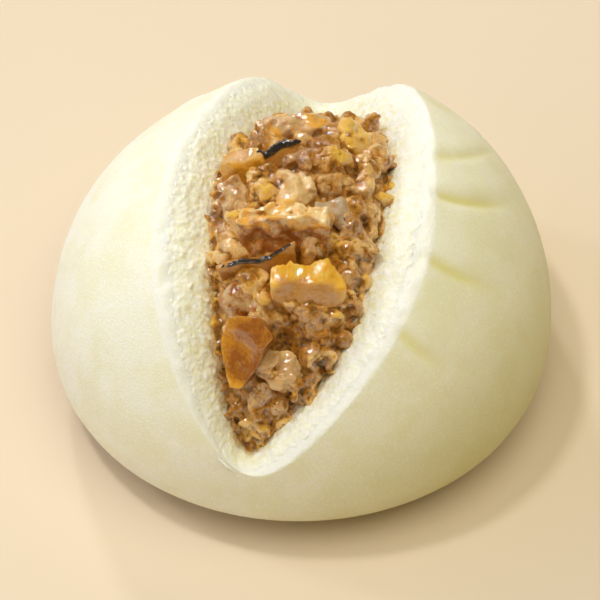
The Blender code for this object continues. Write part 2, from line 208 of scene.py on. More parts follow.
# Larger cuts: place on the dome (x, y), depth under it, size (across, along, thick), turn about
# the dome's normal, lean back about X, roll about Y, squareness, seed.
Cut = namedtuple("Cut", "place depth size turn lean roll squareness seed")
CUTS = {
    "pork_back": Cut((-3.0, 13.0), 5.4, (14.5, 8.0, 6.5), 6, 0, 0, 2.6, 11),
    "bamboo_back": Cut((9.0, 11.2), 5.6, (7.5, 9.5, 7.0), -8, 0, 12, 3.0, 12),
    "mushroom_back": Cut((-5.6, 2.4), 4.6, (9.4, 4.6, 5.8), 14, -34, 0, 4.5, 13),
    "bamboo_left": Cut((-12.8, 0.2), 5.6, (9.0, 5.4, 5.6), 3, -14, -6, 5.5, 14),
    "pork_left": Cut((-13.2, -8.2), 5.8, (7.2, 9.6, 6.2), 10, 0, -8, 2.8, 15),
    "pork_middle": Cut((-0.9, -8.0), 4.3, (8.4, 9.4, 6.2), -6, 0, 4, 2.4, 16),
    "onion": Cut((8.0, -11.2), 5.6, (7.2, 7.0, 4.6), 24, 0, 10, 2.6, 17),
    "pork_slab": Cut((-1.6, -17.6), 4.6, (17.4, 4.6, 8.6), 2, -36, 0, 4.5, 18),
    "mushroom_middle": Cut((-5.8, -23.4), 5.2, (15.4, 3.4, 5.4), 13, -30, 0, 4.5, 19),
    "bamboo_middle": Cut((4.6, -27.0), 4.4, (14.8, 8.8, 7.2), 6, -14, 4, 3.6, 20),
    "pork_grey": Cut((-8.6, -30.2), 5.4, (9.8, 8.4, 6.4), 8, 0, -10, 2.8, 21),
    "bamboo_front": Cut((-6.8, -38.0), 5.2, (8.6, 14.0, 3.8), -22, 6, -14, 3.2, 22),
    "pork_front": Cut((0.6, -40.4), 6.0, (10.0, 8.6, 5.4), 8, 0, 8, 2.5, 23),
}

# Lumps of the mince that show: place on the dome (x, y), radius, and tone from dark to golden.
LUMPS = (
    (-9.6, 8.1, 2.1, 0.68), (-11.6, 19.2, 1.8, 0.60), (-4.2, 15.3, 1.8, 0.72),
    (4.3, 12.1, 2.1, 0.38), (4.6, 6.7, 2.0, 0.50), (6.2, 1.6, 2.3, 0.80), (8.6, 2.9, 2.0, 0.74),
    (0.7, 1.1, 2.1, 0.22), (13.2, 3.1, 1.8, 0.60), (6.7, -4.4, 2.3, 0.40), (9.9, -3.7, 1.6, 0.55),
    (12.8, -2.2, 2.0, 0.55), (17.2, -2.6, 1.8, 0.88), (12.1, -8.3, 1.6, 0.70),
    (15.1, -8.0, 1.6, 0.50), (-6.8, -8.5, 2.1, 0.78), (-9.6, -6.0, 1.2, 0.55),
    (-19.4, -0.3, 1.2, 0.72), (-13.7, -14.2, 0.8, 0.02), (-10.9, -14.3, 1.4, 0.82),
    (11.5, -13.6, 2.5, 0.20), (13.6, -14.3, 1.0, 0.60), (16.7, -11.8, 1.2, 0.50),
    (8.3, -17.3, 1.4, 0.76), (13.1, -18.3, 2.5, 0.70), (16.0, -15.7, 1.2, 0.60),
    (4.9, -19.9, 2.3, 0.32), (-11.5, -20.5, 2.1, 0.60), (-15.3, -21.1, 1.4, 0.75),
    (-13.2, -16.9, 1.6, 0.60), (12.6, -22.5, 1.6, 0.44), (16.1, -23.1, 1.4, 0.75),
    (11.8, -27.5, 1.8, 0.66), (15.0, -27.9, 1.4, 0.40), (4.8, -30.8, 1.2, 0.50),
    (-3.9, -29.6, 1.2, 0.70), (6.6, -33.3, 1.8, 0.36), (10.7, -31.3, 1.6, 0.66),
    (9.3, -35.0, 1.2, 0.05), (14.1, -33.5, 1.6, 0.60), (8.2, -37.9, 1.8, 0.44),
    (4.3, -40.9, 1.8, 0.46), (6.7, -42.7, 1.8, 0.88), (9.7, -39.4, 1.4, 0.55),
    (-2.6, -44.3, 2.5, 0.26), (1.3, -44.9, 1.8, 0.32), (-8.6, -44.8, 1.8, 0.62),
    (-5.2, -46.4, 1.8, 0.66), (-2.4, -47.4, 1.6, 0.84), (8.4, -30.2, 2.2, 0.55),
    (1.4, -29.2, 1.8, 0.62), (4.8, -30.9, 2.1, 0.40), (2.0, -46.6, 1.6, 0.75),
    (-15.7, -35.6, 1.0, 0.80), (-13.5, -40.7, 1.0, 0.05), (-12.2, -43.5, 1.2, 0.55),
    (-2.8, 0.7, 1.2, 0.30), (-3.9, -5.5, 1.4, 0.50),
)
# Places kept free of further lumps, and hollows where the mince sinks and is painted dark as shade:
# place and reach.
CLEARINGS = (((-6.0, -34.8), 3.7), ((-8.0, -25.8), 2.4), ((-8.5, -20.6), 2.6),
             ((-5.0, -20.8), 3.0), ((-1.5, -20.6), 3.0), ((1.0, -20.6), 2.4))
HOLLOWS = (((0.8, -32.8), 3.5), ((-15.0, -25.6), 1.5), ((2.6, -23.2), 1.6),
           ((9.3, -35.4), 2.1), ((-9.5, -39.5), 1.2), ((4.6, -36.4), 1.4))


def slice_corners(outline, front, back, flare=1.0):
    """Corners of an upright slice: its outline across and up, on the front and on the back."""
    return ([(x, front, z) for x, z in outline]
            + [(x * flare, back, z * flare) for x, z in outline])


def plate_corners(outline, top, bottom, flare=1.0):
    """Corners of a lying plate: its outline across and along, on top and underneath."""
    return ([(x, y, top) for x, y in outline]
            + [(x * flare, y * flare, bottom) for x, y in outline])


# Corners of the knife-cut pieces, in halves of their size.
CORNERS = {
    "bamboo_front": plate_corners(((-0.95, 0.80), (-0.5, 0.98), (0.52, 1.18), (1.32, 0.80),
                                   (1.22, 0.62), (0.62, -0.85), (0.08, -0.98), (-0.35, -0.75),
                                   (-1.10, 0.13)), 1.05, -1.0, 0.80),
    "bamboo_left": plate_corners(((-0.90, 0.90), (0.85, 0.55), (1.10, -1.05), (-0.2, -1.15),
                                  (-0.78, -0.95)), 1.0, -1.0, 1.05),
    "bamboo_middle": [(-0.92, 0.45, 0.75), (-0.75, 0.72, 0.85), (-0.20, 0.72, 0.85),
                      (0.40, 1.15, 0.95), (0.82, 0.50, 0.80), (-0.95, -0.25, 0.78),
                      (0.0, -0.15, 0.90), (0.95, -0.25, 0.78), (-0.84, -0.72, 0.15),
                      (-0.45, -0.98, -0.25), (-0.05, -1.15, -0.40), (0.40, -1.00, -0.25),
                      (0.72, -0.86, -0.05), (1.00, -0.40, 0.35),
                      (-0.9, 0.8, -1.0), (0.9, 0.8, -1.0), (-0.8, -0.7, -1.0), (0.8, -0.7, -1.0)],
    "pork_slab": slice_corners(((-0.95, 0.80), (-0.24, 0.72), (0.40, 0.95), (1.0, 1.28),
                                (1.05, 0.60), (0.90, -1.1), (-0.80, -1.35), (-0.92, 0.1)),
                               -1.0, 1.0),
    "mushroom_middle": slice_corners(((-1.0, 0.0), (1.05, 0.0), (0.85, -1.0), (-0.9, -1.0)),
                                     -1.0, 1.0),
    "mushroom_back": slice_corners(((-0.95, 0.0), (1.0, 0.0), (0.72, -0.5), (0.1, -1.0),
                                    (-0.7, -1.0)), -1.0, 1.0),
}
# Upper edge of the mushroom slices: level at places across, in halves of their size.
CRESTS = {
    "mushroom_back": ((-1.0, 0.50), (-0.85, 0.42), (-0.62, 0.18), (-0.3, 0.42), (0.0, 0.66),
                      (0.45, 0.78), (1.0, 0.80)),
    "mushroom_middle": ((-1.0, 0.85), (-0.80, 0.98), (-0.42, 1.12), (-0.15, 0.88), (0.08, 0.76),
                        (0.54, 1.19), (0.85, 1.60), (1.1, 1.85)),
}
# Dark cap edge of the mushroom slices: thickness and depth.
CAPS = {"mushroom_back": (1.7, 1.8), "mushroom_middle": (0.75, 0.9)}
CAP_CUTS = 44
CAP_SQUARENESS = 3.5
# Lumps standing out of the cuts that are chopped at random.
LOBES = {"pork_back": 7, "pork_left": 4, "pork_middle": 7, "bamboo_back": 4, "pork_grey": 3,
         "pork_front": 5, "onion": 2}
# Knobs on the upper edge and the face of the long slab: place in halves of its size, and radius.
SLAB_KNOBS = (((-0.70, 0.7, 0.60), 2.2), ((-0.38, 0.8, 0.75), 2.5), ((-0.02, 0.8, 0.90), 2.6),
              ((0.30, 1.0, 0.95), 2.5), ((0.66, 0.6, 0.95), 2.1), ((0.92, 0.3, 0.75), 1.8),
              ((-0.50, -0.5, -0.20), 2.2), ((0.05, -0.4, -0.10), 2.3), ((0.55, -0.5, -0.1), 2.0))


def smooth_step(low, high, value):
    """Share that runs softly from 0 at the first level to 1 at the second."""
    share = min(max((value - low) / (high - low), 0.0), 1.0)
    return share * share * (3.0 - 2.0 * share)


def wave_factor(turn, waves, first):
    """One plus the waves round a turn; each gives its cosine and sine in hundredths."""
    total = 1.0
    for count, (cosine, sine) in enumerate(waves, start=first):
        total += (cosine * math.cos(count * turn) + sine * math.sin(count * turn)) / 100.0
    return total


def outline_factor(azimuth):
    return wave_factor(azimuth, OUTLINE_WAVES, 1)


def dome_point(direction):
    """Point of the upper dome that lies in a unit direction from its middle."""
    factor = outline_factor(math.atan2(direction.y, direction.x))
    return Vector((RADIUS * factor * direction.x, RADIUS * factor * direction.y,
                   WIDEST_LEVEL + (HEIGHT - WIDEST_LEVEL) * direction.z))


def dome_normal(direction):
    """Outward normal of the dome in a unit direction from its middle."""
    return Vector((direction.x / RADIUS, direction.y / RADIUS,
                   direction.z / (HEIGHT - WIDEST_LEVEL))).normalized()


def plan_direction(x, y):
    """Unit direction over a place in plan; the back end of the opening stays on the dome."""
    start, room = BACK_LIMIT
    reach = math.hypot(x, y)
    if y > 0.0 and reach > start:
        limited = start + room * math.tanh((reach - start) / room)
        x *= limited / reach
        y *= limited / reach
    return Vector((x, y, math.sqrt(max(1.0 - x * x - y * y, 0.0))))


def opening_direction(turn, opening, waves):
    """Direction from the dome's middle to the edge of an opening, at a turn round it."""
    middle, half_width, front, back = opening
    swell = wave_factor(turn, waves, 2)
    reach = back if math.sin(turn) > 0.0 else front
    x = swell * half_width * math.cos(turn) / RADIUS
    y = (middle + swell * reach * math.sin(turn)) / RADIUS
    return plan_direction(x, y)


def pleat_shape(azimuth, latitude):
    """Height of the pleats at a place on the skin, and how deep in a crease it lies."""
    height = crease = 0.0
    for start, high, end, low, depth, width in PLEATS:
        along = (high - math.degrees(latitude)) / (high - low)
        if not -0.25 < along < 1.0:
            continue
        centre = start + (end - start) * max(along, 0.0) ** 1.2
        apart = (math.degrees(azimuth) - centre + 180.0) % 360.0 - 180.0
        side = math.radians(apart) * math.cos(latitude) * RADIUS
        fade = smooth_step(-0.12, 0.18, along) * (1.0 - smooth_step(0.35, 1.0, along))
        groove = math.exp(-(side / width) ** 2)
        fold = 0.45 * math.exp(-((side - 2.6 * width) / (1.7 * width)) ** 2)
        height += depth * fade * (fold - groove)
        crease += depth * fade * math.exp(-(side / (0.80 * width)) ** 2)
    return height, crease


def skin_point(azimuth, latitude, rim_latitude):
    """Point of the smooth skin, swollen towards the rim, and how deep in a crease it lies."""
    direction = Vector((math.cos(latitude) * math.cos(azimuth),
                        math.cos(latitude) * math.sin(azimuth), math.sin(latitude)))
    point = dome_point(direction)
    swell = LIP_SWELL * math.exp(-(rim_latitude - latitude) * RADIUS / LIP_REACH)
    uneven = SKIN_SWELL * noise.noise(point / SKIN_SWELL_SIZE)
    uneven *= smooth_step(0.0, 0.3, latitude)
    height, crease = pleat_shape(azimuth, latitude)
    return point + dome_normal(direction) * (swell + uneven + height), crease


def wall_points(turn, shares):
    """Points of the torn wall in one column, from the rim (share 0) to the mouth (share 1)."""
    rim = opening_direction(turn, RIM, RIM_WAVES)
    mouth = opening_direction(turn, MOUTH, MOUTH_WAVES)
    pleat = pleat_shape(math.atan2(rim.y, rim.x), math.asin(rim.z))[0]
    points = []
    for share in shares:
        direction = rim.lerp(mouth, share).normalized()
        base = dome_point(direction)
        swell = LIP_SWELL * (1.0 - share) ** 2 + pleat * (1.0 - share) ** 3
        swell += SKIN_SWELL * noise.noise(base / SKIN_SWELL_SIZE) * (1.0 - share)
        point = base + dome_normal(direction) * (swell - MOUTH_DEPTH * share ** WALL_POWER)
        fade = smooth_step(0.0, 0.25, share) * (1.0 - smooth_step(0.8, 1.0, share))
        rough = noise.noise(point / CRUMB_SIZE) + 0.6 * noise.noise(point / (0.5 * CRUMB_SIZE))
        points.append(point + dome_normal(direction) * (CRUMB_RELIEF * fade * rough))
    return points


def pocket_point(turn, share, margin):
    """Point of the pocket; share runs from 0 at the mouth to 1 at the middle of its floor."""
    top = wall_points(turn, (1.0,))[0]
    centre = Vector((0.0, POCKET_CENTRE_Y, 0.0))
    angle = share * math.pi / 2.0
    spread = math.cos(angle) ** 0.8 + POCKET_BULGE * math.sin(2.0 * angle)
    flat = Vector((top.x, top.y, 0.0)) - centre
    reach = max(flat.length * spread - margin, 0.0)
    floor = POCKET_FLOOR + margin
    level = floor + (top.z - floor) * (1.0 - math.sin(angle))
    place = centre + flat.normalized() * reach
    return Vector((place.x, place.y, level))


def crown_inset(reach, y):
    """How far the filling's crown lies under the dome."""
    inset = CROWN_INSET + EDGE_INSET * reach ** 3
    return inset + BACK_FALL * max(y - BACK_FALL_START, 0.0) * (1.0 - reach ** 4)


def crown_point(turn, reach, lift):
    """Point of the filling's crown; reach runs from 0 in its middle to 1 at the mouth's edge."""
    middle = plan_direction(0.0, MOUTH[0] / RADIUS)
    mouth = opening_direction(turn, MOUTH, MOUTH_WAVES)
    direction = middle.lerp(mouth, reach).normalized()
    point = dome_point(direction)
    return point + dome_normal(direction) * (lift - crown_inset(reach, point.y))


def crown_place(x, y, lift):
    """Point of the filling's crown over a place in plan."""
    middle, half_width, front, back = MOUTH
    reach = math.hypot(x / half_width, (y - middle) / (back if y > middle else front))
    direction = plan_direction(x / RADIUS, y / RADIUS)
    return dome_point(direction) + dome_normal(direction) * (lift - crown_inset(min(reach, 1.1), y))


def cut_frame(name):
    """Middle and axes of a larger cut: it lies on the dome's slope, turned and leant."""
    cut = CUTS[name]
    direction = plan_direction(cut.place[0] / RADIUS, cut.place[1] / RADIUS)
    normal = dome_normal(direction)
    across = Vector((0.0, 1.0, 0.0)).cross(normal).normalized()
    along = normal.cross(across)
    base = Matrix((across, along, normal)).transposed()
    own = Euler((math.radians(cut.lean), math.radians(cut.roll), 0.0)).to_matrix()
    spin = Matrix.Rotation(math.radians(cut.turn), 3, "Z")
    middle = dome_point(direction) - normal * cut.depth
    return Matrix.Translation(middle) @ (base @ spin @ own).to_4x4()


def inside_cut(point, name, limit):
    """Whether a point lies in the ball round a cut, with the cut's half size times the limit."""
    size = CUTS[name].size
    own = cut_frame(name).inverted() @ point
    return Vector([own[axis] / (size[axis] / 2.0) for axis in range(3)]).length < limit


# ---- modelling ------------------------------------------------------------------------------


def start_piece(name, **primitive):
    """Deselect everything, add one primitive and name it."""
    bpy.ops.object.select_all(action="DESELECT")
    kind = primitive.pop("kind")
    getattr(bpy.ops.mesh, "primitive_%s_add" % kind)(**primitive)
    piece = bpy.context.object
    piece.name = piece.data.name = name
    return piece


def edit_whole(step, **settings):
    """Run one edit-mode step on the whole of the active piece."""
    bpy.ops.object.mode_set(mode="EDIT")
    bpy.ops.mesh.select_all(action="SELECT")
    step(**settings)
    bpy.ops.object.mode_set(mode="OBJECT")


def fuse_piece(piece, voxel_size, rounds):
    """Fuse the chunks of a piece into one closed skin and soften its edges."""
    remesh = piece.modifiers.new("fuse", "REMESH")
    remesh.mode = "VOXEL"
    remesh.voxel_size = voxel_size
    soften = piece.modifiers.new("soften", "SMOOTH")
    soften.factor = 0.5
    soften.iterations = rounds
    bpy.context.view_layer.objects.active = piece
    for modifier in list(piece.modifiers):
        bpy.ops.object.modifier_apply(modifier=modifier.name)


def get_vectors(piece, kind):
    vectors = np.empty(len(piece.data.vertices) * 3)
    piece.data.vertices.foreach_get(kind, vectors)
    return vectors.reshape(-1, 3)


def get_points(piece):
    return get_vectors(piece, "co")


def get_normals(piece):
    return get_vectors(piece, "normal")


def set_points(piece, points):
    piece.data.vertices.foreach_set("co", np.asarray(points, dtype=float).ravel())
    piece.data.update()


def set_mask(piece, name, values):
    mask = piece.data.attributes.new(name, "FLOAT", "POINT")
    mask.data.foreach_set("value", np.asarray(values, dtype=np.float32).ravel())


def finish_piece(piece, material, nodes):
    """Put a modelled piece (in millimetres about the dome's axis) in the frame."""
    set_points(piece, (get_points(piece) + np.array(CENTRING)) * MM)
    piece.data.materials.clear()
    piece.data.materials.append(material)
    piece.data.polygons.foreach_set("use_smooth", [True] * len(piece.data.polygons))
    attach(piece, "root")
    if nodes:
        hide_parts(*nodes)


def close_grid():
    """Close the active grid, wrapped into a shell: merge its seam and its two ends."""
    edit_whole(bpy.ops.mesh.remove_doubles, threshold=1e-5)
    edit_whole(bpy.ops.mesh.normals_make_consistent, inside=False)


def place_tree(places):
    """Tree that finds the nearest of some places."""
    tree = KDTree(len(places))
    for index, place in enumerate(places):
        tree.insert(place, index)
    tree.balance()
    return tree


def bulge_heights(piece, rounds):
    """How far each point stands out of (or lies in) the smoothed form around it."""
    soften = piece.modifiers.new("level", "SMOOTH")
    soften.factor = 0.5
    soften.iterations = rounds
    level = get_points(piece.evaluated_get(bpy.context.evaluated_depsgraph_get()))
    piece.modifiers.remove(soften)
    return np.sum((get_points(piece) - level) * get_normals(piece), axis=1)


def cell_height(place):
    """Rounded knobs of about one unit with grooves between them, at most 0.5 high."""
    return 0.5 - noise.voronoi(place)[0][0]


def crease_depth(place, width, depth):
    """Depth of sharp creases that wander over a surface; wider for a larger width."""
    return depth * max(0.0, width - abs(noise.noise(place))) / width


def random_way(rng):
    return Vector([rng.gauss(0.0, 1.0) for _ in range(3)]).normalized()


def random_turn(rng):
    return [rng.uniform(0.0, math.tau) for _ in range(3)]


def random_stretch(rng, low, high):
    return [rng.uniform(low, high) for _ in range(3)]


# ---- dough ----------------------------------------------------------------------------------


def column_turns(count):
    """Turns round the opening, spread by the rim's length and the bun's girth together."""
    lengths = [0.0]
    last = opening_direction(0.0, RIM, RIM_WAVES)
    for step in range(1, TURN_STEPS + 1):
        rim = opening_direction(2.0 * math.pi * step / TURN_STEPS, RIM, RIM_WAVES)
        swept = math.atan2(last.x * rim.y - last.y * rim.x, last.x * rim.x + last.y * rim.y)
        lengths.append(lengths[-1] + (rim - last).length + 0.5 * abs(swept))
        last = rim
    turns = []
    step = 0
    for column in range(count):
        goal = lengths[-1] * column / count
        while lengths[step + 1] < goal:
            step += 1
        part = (goal - lengths[step]) / (lengths[step + 1] - lengths[step])
        turns.append(2.0 * math.pi * (step + part) / TURN_STEPS)
    return turns


def dough_column(turn):
    """Points of one column of the dough, each with its share and its crease depth.

    The share is below 0 on the skin, 0 at the rim, 1 at the mouth and more in the pocket.
    """
    rim = opening_direction(turn, RIM, RIM_WAVES)
    azimuth = math.atan2(rim.y, rim.x)
    rim_latitude = math.asin(rim.z)
    factor = outline_factor(azimuth)
    around = Vector((math.cos(azimuth), math.sin(azimuth), 0.0))
    rows = []
    for ring in range(1, BASE_RINGS + 1):
        rows.append((*(around * (BASE_RADIUS * factor * ring / BASE_RINGS)), -1.0, 0.0))
    for ring in range(1, SIDE_RINGS):
        angle = math.pi / 2.0 * (1.0 - ring / SIDE_RINGS)
        reach = BASE_RADIUS + (RADIUS - BASE_RADIUS) * math.cos(angle)
        level = WIDEST_LEVEL * (1.0 - math.sin(angle))
        rows.append((*(around * (reach * factor)).xy, level, -1.0, 0.0))
    for ring in range(SKIN_RINGS):
        share = (ring / SKIN_RINGS) ** 0.85
        point, crease = skin_point(azimuth, rim_latitude * share, rim_latitude)
        rows.append((*point, share - 1.0, crease))
    shares = [ring / WALL_RINGS for ring in range(WALL_RINGS + 1)]
    for share, point in zip(shares, wall_points(turn, shares)):
        rows.append((*point, share, 0.0))
    for ring in range(1, POCKET_RINGS):
        rows.append((*pocket_point(turn, ring / POCKET_RINGS, 0.0), 1.0 + ring, 0.0))
    return rows


def grid_normals(points):
    """Normals of a grid of points that closes on itself along its first axis."""
    across = np.roll(points, -1, axis=0) - np.roll(points, 1, axis=0)
    normals = np.cross(across, np.gradient(points, axis=1))
    return normals / (np.linalg.norm(normals, axis=2, keepdims=True) + 1e-9)


def crumb_strength(place):
    """How coarse the crumb is: most at the lower left of the opening, least at the right."""
    return 0.40 + 0.60 * smooth_step(10.0, -26.0, place.x + 0.55 * place.y)


def build_dough():
    """The dough's closed shell; under the loose crumb it sinks a little below the torn wall."""
    grid = np.array([dough_column(turn) for turn in column_turns(COLUMNS)])
    points, torn, crease = grid[:, :, :3], grid[:, :, 3], grid[:, :, 4]
    normals = grid_normals(points)
    rings = points.shape[1]
    sink = SHELL_SINK * np.clip((torn - 0.45) / 0.15, 0.0, 1.0)
    fine = np.array([[noise.noise(Vector(place) / FINE_SIZE) for place in column]
                     for column in points])
    lift = FINE_RELIEF * fine * np.clip((torn + 0.1) / 0.15, 0.0, 1.0) - sink
    points = points + normals * lift[:, :, None]

    piece = start_piece("torn_dough", kind="grid", x_subdivisions=COLUMNS,
                        y_subdivisions=rings + 1, size=2.0)
    start = get_points(piece)
    column = np.rint((start[:, 0] + 1.0) / 2.0 * COLUMNS).astype(int) % COLUMNS
    ring = np.rint((start[:, 1] + 1.0) / 2.0 * (rings + 1)).astype(int)
    inner = np.clip(ring - 1, 0, rings - 1)
    placed = points[column, inner]
    placed[ring == 0] = (0.0, 0.0, 0.0)
    placed[ring == rings + 1] = (0.0, POCKET_CENTRE_Y, POCKET_FLOOR)
    set_points(piece, placed)

    share = torn[column, inner]
    wave = np.array([noise.noise(place / 2.4) + 0.7 * noise.noise(place / 0.9)
                     for place in map(Vector, placed)])
    set_mask(piece, "crumb", np.clip(share / 0.05 + 0.5, 0.0, 1.0))
    fade, end = STAIN_FADE
    front = 1.0 - 0.85 * np.clip((placed[:, 1] - fade) / (end - fade), 0.0, 1.0)
    set_mask(piece, "stain", front * np.clip((share + 0.16 * wave - 0.80) / 0.24, 0.0, 1.0))
    # Painted shade: how deep in a pleat's crease each point lies, for the yellowish crease colour.
    set_mask(piece, "crease", np.clip(crease[column, inner] / 0.8, 0.0, 1.0))
    close_grid()
    return piece


def crumb_band():
    """Thin closed band wrapped over the torn wall; its upper edge dips under the smooth rim."""
    shares = [CRUMB_START + (CRUMB_END - CRUMB_START) * ring / (CRUMB_RINGS - 1)
              for ring in range(CRUMB_RINGS)]
    wall = np.array([wall_points(turn, shares) for turn in column_turns(CRUMB_COLUMNS)])
    normals = grid_normals(wall)
    rise = np.array([0.60 * smooth_step(CRUMB_START, CRUMB_START + 0.50, share) - 0.40
                     for share in shares])
    outer = wall + normals * rise[None, :, None]
    inner = (wall - normals)[:, ::-1]
    piece = start_piece("torn_crumb", kind="torus", major_segments=CRUMB_COLUMNS,
                        minor_segments=2 * CRUMB_RINGS, major_radius=2.0, minor_radius=1.0)
    set_points(piece, np.concatenate((outer, inner), axis=1).reshape(-1, 3))
    return piece, outer, shares


def crumb_flakes():
    """Flakes of torn crumb for the wall: small at the right, larger at the lower left."""
    rng = random.Random(FLAKES.seed)
    turns = column_turns(COLUMNS)
    flakes = []
    for _ in range(FLAKES.count):
        share = CRUMB_START + 0.18 + (0.82 - CRUMB_START) * rng.random() ** 0.75
        place = wall_points(rng.choice(turns), (share,))[0]
        radius = rng.uniform(*FLAKES.radii) * (0.25 + 0.75 * crumb_strength(place))
        radius = radius * smooth_step(CRUMB_START, 0.7, share) + 0.08
        place = place + Vector((0.0, 0.0, 0.34 - 0.55 * radius))
        flakes.append((place, radius, random_turn(rng), random_stretch(rng, 0.5, 1.5)))
    return flakes


def crumb_relief(place):
    """Height of the crumb's pillows, grains and pores, and how deep in a pore the place lies."""
    warped = place + noise.noise_vector(place / 2.2) * 0.9
    pit = noise.voronoi(warped / 1.35 + PORE_DRIFT)[0][0]
    pore = max(0.0, 0.34 - pit) / 0.34
    height = 0.04 * cell_height(warped / 1.9) + 0.10 * cell_height(warped / 0.9)
    return height + 0.12 * noise.noise(warped / 0.6) - 0.16 * pore, pore


def sauce_stain(place, share, bulge):
    """How deep sauce has soaked into the crumb: widest low at the left front."""
    wave = noise.noise(place / 2.6) + 0.9 * noise.noise(place) + 0.9 * noise.noise(place / 0.55)
    coarse = smooth_step(0.5, 0.9, crumb_strength(place))
    spread = 0.07 + 0.22 * smooth_step(-8.0, -30.0, place.y) * coarse
    front = 1.0 - 0.85 * smooth_step(*STAIN_FADE, place.y)
    return front * smooth_step(1.0 - spread, 1.02, share + 0.10 * wave - 0.12 * bulge)


def build_crumb():
    """Loose crumb on the torn wall, with its stains, the painted shade of its pores, and its damp
    parts (partly painted shade) as masks.
    """
    piece, outer, shares = crumb_band()
    add_chunks(piece, crumb_flakes(), FLAKES.corners, FLAKES.shape_seed)
    fuse_piece(piece, *CRUMB_FUSING)

    nearest = place_tree(outer.reshape(-1, 3))
    bulges = bulge_heights(piece, FINE_ROUNDS)
    placed, stains, pores, damps = [], [], [], []
    for point, normal, bulge in zip(get_points(piece), get_normals(piece), bulges):
        place = Vector(point)
        share = shares[nearest.find(place)[1] % len(shares)]
        strength = crumb_strength(place) * smooth_step(CRUMB_START + 0.20, CRUMB_START + 0.55, share)
        height, pore = crumb_relief(place)
        placed.append(place + Vector(normal) * (height * strength))
        stains.append(sauce_stain(place, share, bulge))
        # Painted shade: darker where the crumb lies low, in pores and between flakes.
        pores.append(strength * min(max(0.7 * pore - 1.2 * bulge - 0.8 * height, 0.0), 1.0))
        # Damp zone next to the filling, strongest at the lower left, which also carries painted
        # shade there.
        damp = max(smooth_step(0.45, 0.95, share), 0.6 * strength)
        damps.append(damp * smooth_step(CRUMB_START + 0.10, CRUMB_START + 0.5, share))
    set_points(piece, placed)
    set_mask(piece, "stain", stains)
    set_mask(piece, "pore", pores)
    set_mask(piece, "damp", damps)
    return piece


# ---- filling --------------------------------------------------------------------------------


def mince_lumps():
    """Middle, radius, turn, stretch and tone of each lump: the listed ones and others between."""
    rng = random.Random(LUMP_SEED)

    def lump(centre, radius, tone):
        return centre, radius, random_turn(rng), random_stretch(rng, 0.68, 1.35), tone

    lumps = [lump(crown_place(x, y, 1.8 - 0.8 * radius), 1.45 * radius, tone)
             for x, y, radius, tone in LUMPS]
    for _ in range(LUMP_TRIES):
        reach = math.sqrt(rng.random()) * LUMP_REACH
        centre = crown_point(rng.uniform(0.0, math.tau), reach, rng.uniform(-0.5, 0.5))
        radius = rng.uniform(*LUMP_RADIUS)
        if any((centre - other[0]).length < other[1] + 0.55 * radius for other in lumps):
            continue
        if any(inside_cut(centre, name, 0.95) for name in CUTS):
            continue
        if any((centre.xy - Vector(place)).length < reach for place, reach in CLEARINGS + HOLLOWS):
            continue
        lumps.append(lump(centre, radius, rng.uniform(0.25, 0.80)))
    return lumps


def chunk_stock(corners, rng):
    """A few chopped shapes to copy: each the hull of some corners on a ball of radius one."""
    stock = []
    for _ in range(CHUNK_KINDS):
        bm = bmesh.new()
        for _ in range(corners):
            bm.verts.new(random_way(rng) * rng.uniform(0.92, 1.12))
        hull = bmesh.ops.convex_hull(bm, input=bm.verts[:])
        bmesh.ops.delete(bm, geom=hull["geom_interior"], context="VERTS")
        bmesh.ops.recalc_face_normals(bm, faces=bm.faces[:])
        bm.verts.index_update()
        stock.append((np.array([vert.co for vert in bm.verts]),
                      [[vert.index for vert in face.verts] for face in bm.faces]))
        bm.free()
    return stock


def add_chunks(piece, chunks, corners, seed):
    """Join chopped shapes to a piece; each chunk gives its middle, radius, turn and stretch."""
    rng = random.Random(seed)
    stock = chunk_stock(corners, rng)
    points, faces = [], []
    total = 0
    for centre, radius, turn, stretch, *_ in chunks:
        shape, sides = rng.choice(stock)
        place = Matrix.LocRotScale(centre, Euler(turn), Vector(stretch) * radius)
        points.append(shape @ np.array(place.to_3x3()).T + np.array(centre))
        faces += [[index + total for index in side] for side in sides]
        total += len(shape)
    mesh = bpy.data.meshes.new("chunks")
    mesh.from_pydata(np.concatenate(points), [], faces)
    chopped = bpy.data.objects.new("chunks", mesh)
    bpy.context.scene.collection.objects.link(chopped)
    bpy.ops.object.select_all(action="DESELECT")
    chopped.select_set(True)
    piece.select_set(True)
    bpy.context.view_layer.objects.active = piece
    bpy.ops.object.join()


def mince_core():
    """Core of the mince: rings up the pocket and then over the crown."""
    crown_rings = CORE_RINGS - CORE_POCKET_RINGS
    piece = start_piece("mince", kind="uv_sphere", segments=CORE_COLUMNS, ring_count=CORE_RINGS,
                        radius=1.0)
    placed = []
    for x, y, z in get_points(piece):
        ring = round(math.acos(max(-1.0, min(1.0, -z))) / math.pi * CORE_RINGS)
        turn = math.atan2(y, x)
        if ring < CORE_POCKET_RINGS:
            placed.append(pocket_point(turn, 1.0 - 0.95 * ring / CORE_POCKET_RINGS, 0.4))
        else:
            reach = CORE_REACH * (1.0 - (ring - CORE_POCKET_RINGS) / crown_rings)
            placed.append(crown_point(turn, reach, -0.2))
    set_points(piece, placed)
    return piece


def surface_bits(piece, kind):
    """Bits strewn over the mince, each half sunk where it lands."""
    rng = random.Random(kind.seed)
    tree = BVHTree.FromObject(piece, bpy.context.evaluated_depsgraph_get())
    bits = []
    while len(bits) < kind.count:
        reach = rng.random() ** 0.45
        turn = rng.uniform(0.0, math.tau)
        outside = crown_point(turn, reach, 14.0)
        inward = crown_point(turn, reach, 0.0) - outside
        hit = tree.ray_cast(outside, inward.normalized())[0]
        spin, stretch = random_turn(rng), random_stretch(rng, 0.6, 1.35)
        radius = rng.uniform(*kind.radii)
        if hit is None or any(inside_cut(hit, name, 1.15) for name in CUTS):
            continue
        if not any((hit.xy - Vector(place)).length < near for place, near in CLEARINGS):
            bits.append((hit, radius, spin, stretch))
    return bits


